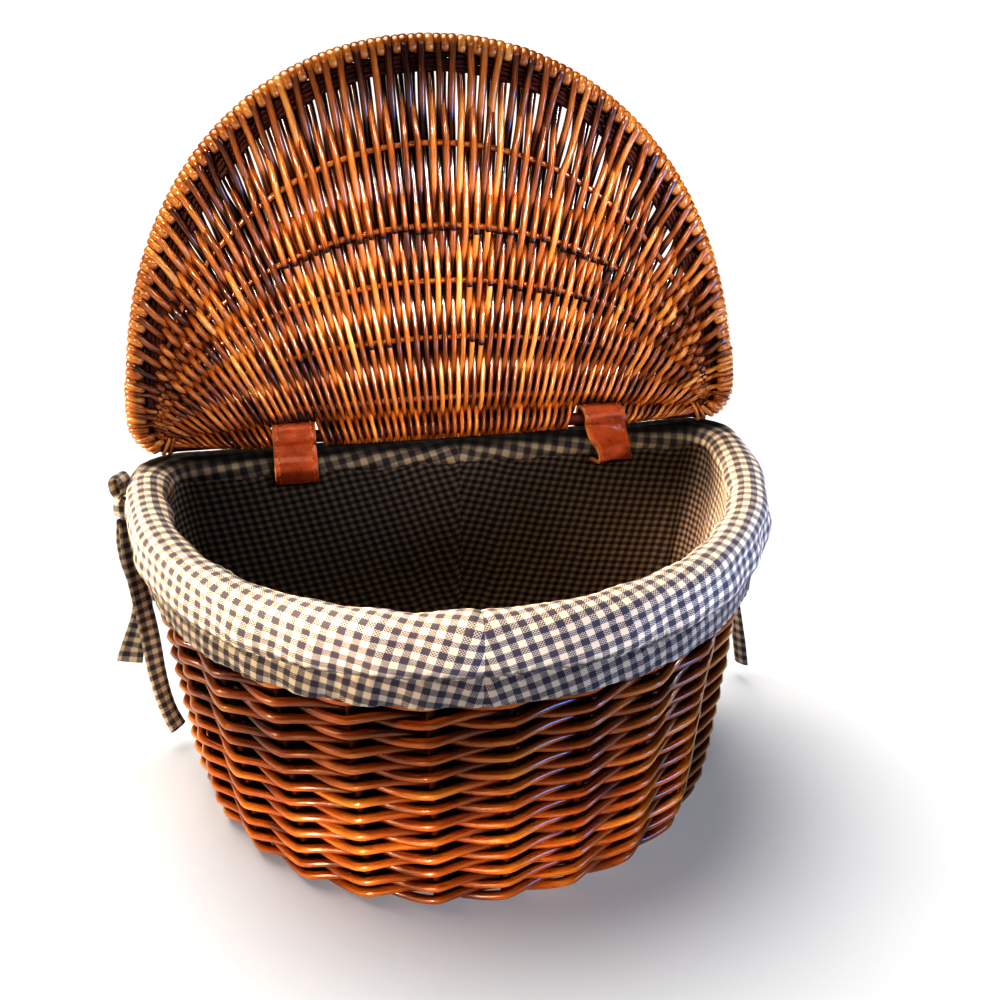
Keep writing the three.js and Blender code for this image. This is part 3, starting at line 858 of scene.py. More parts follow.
@dataclass
class ClothLining:
    """Gingham lining: two half panels seamed at the front and the back, rolled over the rim to a gathered cuff.

    Its section, as (out, z), is a straight inside, an oval over the border and a cuff that is drawn in at the
    gather and flares to the hem. The grain of a half panel is a sector of a ring, so the checks slant at the seams.
    """

    form: BasketForm
    thickness: float = 1.3
    inside: float = -14.6
    border: Span = (-6.5, 171.9)
    oval: Span = (10.15, 7.15)
    grain_radius: float = 670.0
    front_seam_x: float = -8.0
    columns: int = 560
    gather_z: float = 150.0
    hem_z: float = 134.0
    bag_z: float = 168.0  # the bag inside is sewn on below this height
    bag_check: float = 0.62  # size of its checks, against those of the cuff
    slit: Spot = (12.4, 9.0, 2.2)  # half its size
    floor_z: float = 9.9
    floor_thickness: float = 1.0
    floor_middle: Span = (0.0, 8.0)
    floor_fill: float = 0.86  # area of the floor against that of its box

    def section(self) -> tuple[Array, Array, Array]:
        """The cloth's middle line from the floor to the hem.

        Returns:
            out, z and the distance from the hem, at rows that lie closer at the roll and the gather.
        """
        turn = np.radians(np.linspace(205, -12, 28))
        roll = np.stack(
            [self.border[0] + self.oval[0] * np.cos(turn), self.border[1] + self.oval[1] * np.sin(turn)], axis=1
        )
        cuff = [(4.7, 167.5), (5.8, 163.5), (6.4, 159.5), (6.2, 156.0), (4.9, 153.0), (2.6, 151.1), (0.7, 150.2),
                (0.2, 149.2), (0.6, 147.8), (1.5, 145.0), (2.1, 139.5), (2.3, self.hem_z)]
        line = np.concatenate([[(self.inside, 9.4), (self.inside, 60.0), (self.inside, 110.0), (self.inside, 150.0),
                                (self.inside, 160.0)], roll, cuff])
        fine = smooth_line(line, 1200)
        reach = along(fine)
        from_hem = reach[-1] - reach
        spread = np.interp(from_hem, [0, 12, 22, 34, 90, 250], [1.5, 0.8, 0.8, 1.5, 2.2, 9.0])
        steps = np.concatenate([[0], np.cumsum(np.diff(reach) / spread[:-1])])
        rows = int(round(steps[-1]))
        pick = np.interp(np.linspace(0, steps[-1], rows), steps, reach)
        out, z = (np.interp(pick, reach, column) for column in fine.T)
        return out, z, reach[-1] - pick

    def surface(self) -> tuple[Array, Array, Array, Array]:
        """The cloth's points: the section swept round the D, then moved along its normal.

        Returns:
            Points (columns, rows, 3), the shares of the way round from the front seam, the distances from the
            hem, and the tones.
        """
        out, z, from_hem = self.section()
        front = self.form.front_share(self.front_seam_x)
        share = front + np.arange(self.columns) / self.columns
        points = self.form.place(share[:, None], out[None], z[None])
        turns, w = (share - front)[:, None], from_hem[None]
        lower = from_hem < 40.0
        gather = float(np.interp(self.gather_z, z[lower][::-1], from_hem[lower][::-1]))
        pucker = ripple(turns, (95, 150), 7, SEED + 60, w / 60.0)
        # At the back corners the roll is full, and its far shoulder is pushed up behind the hinge rod.
        corner = bell(np.hypot(np.abs(points[..., 0]) - 158.0, points[..., 1] - 92.0), 0.0, 18.0)
        full = 2.6 * corner * np.clip((out + 3.5) / 5.0, 0, 1) * bell(w, gather + 28.0, 14.0)
        move = self.moves(turns, w, gather, pucker) + full
        made = points + move[..., None] * self.normals(points)
        behind = np.clip((points[..., 1] - 80.0) / 10.0, 0, 1)
        lift = np.clip((out + 1.8) / 4.0, 0, 1) * np.clip((z - 167.0) / 5.0, 0, 1)
        made[..., 2] += 3.2 * behind * (1 - 0.6 * corner) * lift
        return made, share - front, from_hem, self.tones(points, w - gather, pucker, behind)

    def moves(self, turns: Array, w: Array, gather: float, pucker: Array) -> Array:
        """How far the cloth lies off its plain section: a sum of ripples, each held to its own band by a bell.

        Args:
            turns: shares of the way round from the front seam, one a row.
            w: distances from the hem, one a column.
            gather: distance of the gather from the hem.
            pucker: the fine ripple of the gathers.

        Returns:
            Moves away from the wall: puckers at the gather, a wavy cuff, slack and lumps in the roll, folds on
            the inside, a groove at each seam and two pleats at the front.
        """
        length = self.form.table[3]
        fine = ripple(turns, (140, 220), 6, SEED + 61, w / 30.0)
        cuff = np.clip(1 - w / gather, 0, 1)
        roll = bell(w, gather + 26.0, 16.0)
        sides = bell(w, gather + 15.0, 8.0) + bell(w, gather + 54.0, 9.0)
        deep = np.clip((w - 75.0) / 60.0, 0, 1)
        move = bell(w, gather, 5.0) * (0.55 * pucker + 0.3 * fine)
        move = move + cuff * (0.35 * pucker + 0.7 * ripple(turns, (14, 34), 5, SEED + 62))
        move = move + roll * (0.5 * ripple(turns, (9, 26), 6, SEED + 63, w / 90.0) - 0.4 + 0.1 * fine)
        move = move + sides * (1.1 * ripple(turns, (11, 30), 6, SEED + 65, w / 70.0) + 0.15 * pucker)
        move = move + deep * (1.4 * np.maximum(ripple(turns, (12, 40), 7, SEED + 64, w / 160.0), 0) - 0.1)
        for seam in (0.0, 0.5):
            away = np.abs(np.mod(turns - seam + 0.5, 1.0) - 0.5) * length
            move = move - 0.75 * bell(away, 0.0, 1.6) + 0.3 * bell(away, 4.2, 2.6)
        front = self.form.front_share(self.front_seam_x)
        for at, height in ((-46.0, gather + 20.0), (52.0, gather + 23.0)):
            away = (turns - (self.form.front_share(at) - front)) * length + 0.25 * (w - height)
            move = move + bell(w, height, 11.0) * (1.1 * bell(away, 0.0, 2.0) - 0.8 * bell(away, 2.8, 1.6))
        return move

    @staticmethod
    def tones(points: Array, past: Array, pucker: Array, behind: Array) -> Array:
        """Tones of the cloth, painted shade: darker in the crease, on the band below it, under the lid and inside.

        Args:
            points: the cloth's points.
            past: distances from the gather, towards the inside.
            pucker: the fine ripple of the gathers.
            behind: 1 at the back of the roll, 0 in front of it.

        Returns:
            One tone for each point.
        """
        crease = bell(past + 1.6 * pucker, 3.6, 4.0)
        tone = UNSHADED * (1 - 0.9 * crease) * (1 - 0.44 * np.clip(-past / 3.0, 0, 1))
        inward = np.clip((past - 24.0) / 6.0, 0, 1)
        tone = tone * (1 - 0.95 * behind * inward)
        under = np.clip((points[..., 1] - 64.0) / 8.0, 0, 1) * np.clip((150.0 - np.abs(points[..., 0])) / 14.0, 0, 1)
        tone = tone * (1 - 0.72 * (1 - behind) * under * inward * np.clip((68.0 - past) / 8.0, 0, 1))
        return tone * (1 - 0.42 * np.clip((past - 50.0) / 20.0, 0, 1))

    @staticmethod
    def normals(points: Array) -> Array:
        """Unit normals of a closed sweep, away from the wall: slope round the D x slope along the section.

        Args:
            points: the sweep, (round the D, along the section, 3).

        Returns:
            Normals in the same shape.
        """
        round_it = np.roll(points, -1, axis=0) - np.roll(points, 1, axis=0)
        down = np.gradient(points, axis=1)
        return unit(np.cross(down, round_it))

    def build(self, finishes: Finishes, slits: Array) -> None:
        """Makes the cloth with slits where the hinge loops pass, and the floor.

        Args:
            finishes: the materials.
            slits: middles of the slits in the back, inside and outside.
        """
        points, share, from_hem, tone = self.surface()
        columns, rows = points.shape[:2]
        faces = grid_faces(columns, rows, wrap_rows=True)[:, ::-1]
        length = self.form.table[3]
        lines = np.append(share, 1.0)
        split = np.searchsorted(lines, 0.5 - 1e-9)
        radius = self.grain_radius - from_hem[None]
        panels = []
        for middle, part in ((0.25, slice(0, split + 1)), (0.75, slice(split, None))):
            angle = ((lines[part] - middle) * length / self.grain_radius)[:, None]
            panels.append(grid_uv(radius * np.sin(angle), self.grain_radius - radius * np.cos(angle)))
        uv = np.concatenate(panels)[:, ::-1]
        flat = points.reshape(-1, 3)
        middle = flat[faces].mean(axis=1)
        bag = np.tile((self.section()[1] < self.bag_z) & (from_hem > 60.0), (columns, 1))[:, :-1].reshape(-1)
        uv[bag] /= self.bag_check
        away = np.abs(middle[:, None] - slits[None])
        keep = ~np.any(np.all(away < self.slit, axis=2), axis=1)
        shape = Shape(flat, [faces[keep]], [uv[keep] * MM], tone.reshape(-1), [0])
        # Its side against the wall takes the gingham painted dark as in shade.
        piece = shape.piece("lining_cloth", finishes.painted_shade_side, finishes.gingham)
        thick = piece.modifiers.new("cloth_thickness", "SOLIDIFY")
        thick.thickness, thick.offset, thick.use_even_offset = self.thickness * MM, 0.0, False
        thick.material_offset = 1
        attach(piece, Body.BASKET, Slot.GINGHAM, "lining")
        self.floor(finishes)

    def floor(self, finishes: Finishes) -> None:
        """The floor panel: rings of the D drawn in to the middle, laid nearly flat with a few soft waves.

        Args:
            finishes: the shared materials.
        """
        count = 160
        shares = np.arange(count) / count
        rings = np.linspace(1.0, 0.0, 26)[:-1]
        edge = self.form.place(shares, self.inside + 0.4, self.floor_z)
        centre = np.array([*self.floor_middle, self.floor_z])
        points = centre + rings[:, None, None] * (edge - centre)[None]
        lift = 0.5 * ripple(shares, (3, 9), 4, SEED + 70)[None] * (rings * (1 - rings) * 4)[:, None]
        points[..., 2] += 0.25 + lift
        flat = np.concatenate([points.reshape(-1, 3), [centre + 0.25 * UP]])
        faces = grid_faces(len(rings), count, wrap_columns=True)
        last = (len(rings) - 1) * count + np.arange(count)
        fan = np.stack([last, np.roll(last, -1), np.full(count, len(flat) - 1)], axis=1)
        uv = [flat[part][..., :2] * MM / self.bag_check for part in (faces, fan)]
        shape = Shape(flat, [faces, fan], uv, np.full(len(flat), UNSHADED), [0, 0])
        piece = shape.piece("lining_floor", finishes.gingham)
        thick = piece.modifiers.new("cloth_thickness", "SOLIDIFY")
        thick.thickness, thick.offset = self.floor_thickness * MM, 0.0
        attach(piece, Body.BASKET, Slot.GINGHAM)


# ---- Leather hinge loops


@dataclass
class HingeLoop:
    """A two-ply leather loop round the lid's hinge rod and through the back of the wall, stitched along its edges.

    A loop with yaw, shear and ahead has its front drawn aside, as the right one.
    """

    name: str
    x: float
    yaw: float = 0.0
    shear: float = 0.0
    ahead: float = 0.0
    drop: float = 1.0  # how far its front hangs, against a loop with no slack taken up
    width: float = 24.0
    thickness: float = 2.6
    hinge: Span = (97.5, 186.4)
    ring: float = 7.3
    stitch_pitch: float = 2.6
    stitch_long: float = 1.7
    stitch_in: float = 2.7
    thread: float = 0.38

    @property
    def slits(self) -> Array:
        """Where the loop passes the cloth: inside and outside the wall."""
        low = self.hinge[1] - 25.2
        return np.array([
            (self.x + 11.0 * self.shear, self.hinge[0] - 11.0, low + 15.5 * (1 - self.drop)),
            (self.x, self.hinge[0] + 9.0, low),
        ])

    def lines(self) -> tuple[Array, Array, Array]:
        """The loop's middle line and its directions.

        Returns:
            Points, directions across the band and directions out of the loop, 200 of each, closed.
        """
        turn = np.radians(-15 + 30 * np.arange(8))
        ring = np.stack([self.ring * np.cos(turn), self.ring * np.sin(turn)], axis=1)
        rest = np.array([
            (-10.2, -7.0), (-14.4, -10.6), (-16.4, -15.0), (-16.4, -20.0), (-15.4, -23.6), (-13.2, -25.2),
            (0.0, -25.2), (8.0, -25.2), (11.4, -23.0), (12.6, -18.0), (12.4, -12.0), (10.2, -5.0),
        ])
        y, z = np.concatenate([ring, rest]).T
        pull = np.where(z > -23, np.clip((-y - 7.3) / 8, 0, 1), 0.0)
        z = np.where((y < -5) & (z < -7), -7 + (z + 7) * self.drop, z)
        x, y = self.x - self.shear * np.minimum(y, 0), self.hinge[0] + y - self.ahead * pull
        rows = np.stack([x, y, self.hinge[1] + z, np.radians(self.yaw) * pull], axis=1)
        fine = smooth_line(rows, 200, closed=True)
        ahead = np.roll(fine, -1, axis=0) - np.roll(fine, 1, axis=0)
        ahead = unit(np.stack([np.zeros(len(fine)), ahead[:, 1], ahead[:, 2]], axis=1))
        across = np.stack([np.cos(fine[:, 3]), np.sin(fine[:, 3]), np.zeros(len(fine))], axis=1)
        outwards = np.stack([np.zeros(len(fine)), ahead[:, 2], -ahead[:, 1]], axis=1)
        return fine[:, :3], across, outwards

    def band(self) -> Shape:
        """The leather: a section of two rounded plies carried round the loop.

        Returns:
            A closed band, with finish 0 on its face, 1 on its raw edges and 2 on its lining side.
        """
        half, thin = self.width / 2, self.thickness / 2
        face = np.linspace(half - 0.5, -half + 0.5, 9)
        crown = 0.22 * (1 - (face / half) ** 4) - 0.12 * bell(np.abs(face), half - self.stitch_in, 1.2)
        edge = np.array([(half - 0.35, 0.0), (half, 0.3), (half, thin - 0.45)])
        outer = np.stack([face, thin - 0.1 + crown], axis=1)
        inner = np.stack([-face, np.full(len(face), -thin)], axis=1)
        low = edge[:0:-1] * [1, -1]
        section = np.concatenate([edge, outer, edge[::-1] * [-1, 1], low[::-1] * [-1, 1], inner, low])
        count = len(section)
        kind = np.ones(count, int)
        kind[len(edge) : len(edge) + len(face) - 1] = 0
        start = 2 * len(edge) + len(face) + len(low)
        kind[start : start + len(face) - 1] = 2
        points, across, outwards = self.lines()
        spots = points[:, None] + section[:, :1] * across[:, None] + section[:, 1:] * outwards[:, None]
        uv = grid_uv(around(points)[:, None], around(section)[None])
        faces = grid_faces(len(points), count, True, True)
        tone = np.full(len(points) * count, UNSHADED)
        return Shape(spots.reshape(-1, 3), [faces], [uv * MM], tone, [np.tile(kind, len(points))])

    def stitches(self) -> Shape:
        """Short stitches along both edges, each a thread that arches out of the leather.

        Returns:
            The stitches as rods.
        """
        points, across, outwards = self.lines()
        rows = np.concatenate([points, across, outwards], axis=1)
        rows = np.concatenate([rows, rows[:1]])
        reach = along(rows[:, :3])[-1]
        middles = np.arange(self.stitch_pitch / 2, reach, self.stitch_pitch)
        spread = np.linspace(-0.5, 0.5, 5)
        at = at_distance(rows, middles[:, None] + self.stitch_long * spread)
        arch = self.thickness / 2 - 0.25 + 0.5 * np.cos(np.pi * spread)
        middle, across = at[..., :3] + arch[:, None] * at[..., 6:], at[..., 3:6]
        aside = (self.width / 2 - self.stitch_in) * across
        return tubes(
            np.concatenate([middle - aside, middle + aside]), self.thread, np.concatenate([across, across]), 6, UNSHADED
        )

    def build(self, finishes: Finishes) -> None:
        """Makes the band and its stitching.

        Args:
            finishes: the shared materials.
        """
        leather = self.band().piece(self.name + "_leather", finishes.leather, finishes.raw_edge, finishes.suede)
        attach(leather, Body.BASKET, Slot.LEATHER, self.name)
        sewn = self.stitches().piece(self.name + "_stitches", finishes.stitching)
        attach(sewn, Body.BASKET, Slot.LEATHER)


# ---- Ribbon ties


@dataclass
class Ribbon:
    """A tail of a tie: a flat tube of sewn gingham that hangs from its knot.

    A row of the route is x, y, z and how far the face is swung from facing the front, in degrees.
    """

    name: str
    route: Array
    width: float = 11.0
    thickness: float = 1.6
    flare: float = 0.0  # how much wider the end is
    tone: float = 0.36  # painted shade: darker than unshaded cloth
    steps: int = 90

    def build(self, finishes: Finishes) -> None:
        """Makes the ribbon: a flat oval with a soft lengthwise fold, carried along the route.

        Args:
            finishes: the shared materials.
        """
        line = smooth_line(self.route, self.steps)
        path, turn = line[:, :3], np.radians(line[:, 3])
        ahead = unit(np.gradient(path, axis=0))
        across = np.stack([np.cos(turn), np.sin(turn), np.zeros(len(turn))], axis=1)
        across = unit(across - (across * ahead).sum(1, keepdims=True) * ahead)
        face = np.cross(ahead, across)
        reach = along(path)
        end = reach / reach[-1]
        half = self.width / 2 * (0.8 + 0.2 * np.clip(end * 7, 0, 1) + self.flare * np.clip(end * 4 - 3, 0, 1))
        count = 14
        wide, tall = flat_oval(count).T
        fold = 0.9 * np.sin(reach / 17.0)[:, None] * (1 - wide[None] ** 2) - 0.3
        spots = (
            path[:, None]
            + (half[:, None] * wide[None])[..., None] * across[:, None]
            + (self.thickness / 2 * tall[None] + fold)[..., None] * face[:, None]
        )
        rim = around(flat_oval(count) * [self.width / 2, self.thickness / 2])
        uv = grid_uv(rim[None], reach[:, None])
        faces = grid_faces(len(path), count, wrap_columns=True)
        ring = np.arange(count)
        caps = np.stack([ring[::-1], (len(path) - 1) * count + ring])
        tone = np.full(len(path) * count, self.tone)
        shape = Shape(spots.reshape(-1, 3), [faces, caps], [uv * MM, np.zeros((2, count, 2))], tone, [0, 0])
        piece = shape.piece(self.name + "_ribbon", finishes.gingham)
        attach(piece, Body.BASKET, Slot.GINGHAM, self.name)


@dataclass
class Ties:
    """The cuff's two ties at the back corners: knots, the left bow's small loop and four tails."""

    knots: tuple[tuple[str, Spot], ...] = (
        ("tie_left_knot", (-177.6, 78.0, 160.0)), ("tie_right_knot", (163.5, 96.7, 150.0))
    )
    knot_size: Spot = (5.5, 6.0, 7.0)
    loop_at: Spot = (-177.8, 78.0, 174.0)
    loop_size: Span = (4.0, 6.0)
    loop_width: float = 9.5
    loop_thickness: float = 1.4
    loop_swing: float = -38.0  # degrees, from facing the front

    def tails(self) -> list[Ribbon]:
        """The four tails with their routes from the knot down.

        Returns:
            Left long, left short, right long, right short.
        """
        left_long = [
            (-176.8, 76.3, 152.7, 30), (-177, 76.6, 145, 32), (-177.1, 77, 140, 33), (-177, 77.5, 135, 35),
            (-176.6, 78.6, 124, 38), (-175.6, 79.8, 112, 36), (-174.6, 80.8, 100, 32), (-173.4, 81.5, 88, 26),
            (-172.5, 82, 76, 22), (-171.8, 82, 64, 24), (-171.1, 82, 52, 30), (-169.9, 82, 40, 35),
            (-168.2, 82, 29, 40), (-165.8, 82, 19, 40), (-162.7, 82, 10, 35),
        ]
        left_short = [
            (-178.2, 79.9, 152.7, 30), (-178.8, 81.5, 146, 30), (-179.2, 83.5, 139, 30), (-179.4, 86, 131, 30),
            (-179, 88, 123, 28), (-177.8, 89.5, 115, 25), (-176.4, 90.5, 107, 20), (-175.2, 91, 99, 10),
            (-175.4, 91.5, 91, 0), (-177.2, 92, 83, -5), (-179.8, 92.5, 75, -5), (-182.4, 93, 67, 0),
            (-183.7, 93, 63, 3), (-184.8, 93, 60, 5), (-187, 93, 52, 5),
        ]
        right_long = [
            (162.5, 95.7, 142.7, -45), (164, 95.5, 134, -47), (165.2, 95.3, 128, -48), (166.5, 95.1, 123, -50),
            (169.3, 94.7, 112, -55), (172.1, 94.5, 101, -60), (174.9, 94.5, 90, -62), (177.7, 94.5, 79, -65),
            (180.3, 94.5, 68, -65), (182.7, 94.5, 57, -65), (185.1, 94.5, 46, -65), (187.1, 94.5, 36, -62),
            (189.1, 94.5, 26, -60), (190.7, 94.5, 17, -60), (192.1, 94.5, 9, -60),
        ]
        right_short = [
            (164.6, 97.8, 142.7, -45), (165.3, 98.6, 140, -45), (166.1, 99.3, 137, -45), (168.1, 100.9, 131, -45),
            (170.3, 102.3, 125, -43), (171.5, 102.8, 122, -42), (172.7, 103.3, 119, -40), (175.3, 103.9, 113, -40),
            (177.9, 104.3, 107, -38), (180.5, 104.5, 101, -35), (183.1, 104.5, 95, -30), (185.7, 104.5, 89, -25),
            (187, 104.3, 86, -22), (188.3, 104.1, 83, -20), (190.7, 103.7, 77, -20),
        ]
        return [
            Ribbon("tie_left_tail_long", np.array(left_long, float)),
            Ribbon("tie_left_tail_short", np.array(left_short, float), flare=0.35),
            Ribbon("tie_right_tail_long", np.array(right_long, float)),
            Ribbon("tie_right_tail_short", np.array(right_short, float)),
        ]

    def knot(self, centre: Spot, seed: int) -> Shape:
        """A knot: an egg whose radius swells in slanting turns, 0.93 + 0.1 sin(3a + 2.4b) sin b + 0.05 sin(7b + 2a).

        Args:
            centre: middle of the knot.
            seed: which way its turns start.

        Returns:
            A closed shape, its poles drawn together.
        """
        rings, sides = 22, 32
        b = np.linspace(0.06, np.pi - 0.06, rings)[:, None]
        a = np.linspace(0, 2 * np.pi, sides + 1)[None]
        radius = 0.93 + 0.1 * np.sin(3 * (a + 0.8 * b) + seed) * np.sin(b) + 0.05 * np.sin(7 * b + 2 * a)
        ball = np.stack([np.sin(b) * np.cos(a), np.sin(b) * np.sin(a), np.cos(b) + 0 * a], axis=-1)
        spots = np.array(centre) + radius[..., None] * ball * np.array(self.knot_size)
        uv = grid_uv(a * 6.0, b * 6.0)[:, ::-1]
        faces = grid_faces(rings, sides, wrap_columns=True)[:, ::-1]
        ring = np.arange(sides)
        caps = np.stack([ring, (rings - 1) * sides + ring[::-1]])
        points = spots[:, :-1].reshape(-1, 3)
        tone = np.full(len(points), UNSHADED)
        return Shape(points, [faces, caps], [uv * MM, np.zeros((2, sides, 2))], tone, [0, 0])

    def loop(self) -> Shape:
        """The bow's loop: a flat oval section carried round an upright oval.

        Returns:
            The closed loop.
        """
        steps, sides = 48, 12
        turn = 2 * np.pi * np.arange(steps) / steps
        swing = np.radians(self.loop_swing)
        outwards = np.stack([np.cos(turn) * np.cos(swing), np.cos(turn) * np.sin(swing), np.sin(turn)], axis=1)
        across = np.array([np.sin(swing), -np.cos(swing), 0])
        path = np.array(self.loop_at) + outwards * [self.loop_size[0], self.loop_size[0], self.loop_size[1]]
        section = flat_oval(sides) * [self.loop_width / 2, self.loop_thickness / 2]
        spots = path[:, None] + section[:, :1] * across + section[:, 1:] * outwards[:, None]
        uv = grid_uv(around(section)[None], around(path)[:, None])
        faces = grid_faces(steps, sides, True, True)
        return Shape(spots.reshape(-1, 3), [faces], [uv * MM], np.full(steps * sides, UNSHADED), [0])

    def build(self, finishes: Finishes) -> None:
        """Makes the tails first, then the knots and the loop.

        Args:
            finishes: the shared materials.
        """
        for tail in self.tails():
            tail.build(finishes)
        for seed, (name, centre) in enumerate(self.knots):
            piece = self.knot(centre, seed).piece(name + "_cloth", finishes.gingham)
            attach(piece, Body.BASKET, Slot.GINGHAM, name)
        piece = self.loop().piece("tie_left_loop_cloth", finishes.gingham)
        attach(piece, Body.BASKET, Slot.GINGHAM, "tie_left_loop")


# ---- Lid


@dataclass(frozen=True)
class Fan:
    """The plan of the lid's weavers, one entry each.

    Attributes:
        share: place across the lid, -1 to 1.
        pitch: distance from one to the next along the bow.
        foot: place on the hinge rod.
        run: from the foot to the bow.
        length: length of the run.
        ahead: direction of the run.
        outwards: direction out of the bow.
        side: 1 for one that starts in front of the hinge rod, -1 behind it.
        foot_radius: radius at the hinge rod.
        bow_radius: radius at the bow.
        wrap_flat: thickness against width, where it is wound round the bow.
        wrap_radius: from the bow's middle to that of the winding.
        tone: lightness.
        knots: shares of the run at the hinge rod, the ribs, the inner rods and the bow.
        bunch: two sets of sideways moves, in pitches.
    """

    share: Array
    pitch: float
    foot: Array
    run: Array
    length: Array
    ahead: Array
    outwards: Array
    side: Array
    foot_radius: Array
    bow_radius: Array
    wrap_flat: Array
    wrap_radius: Array
    tone: Array
    knots: Array
    bunch: Array


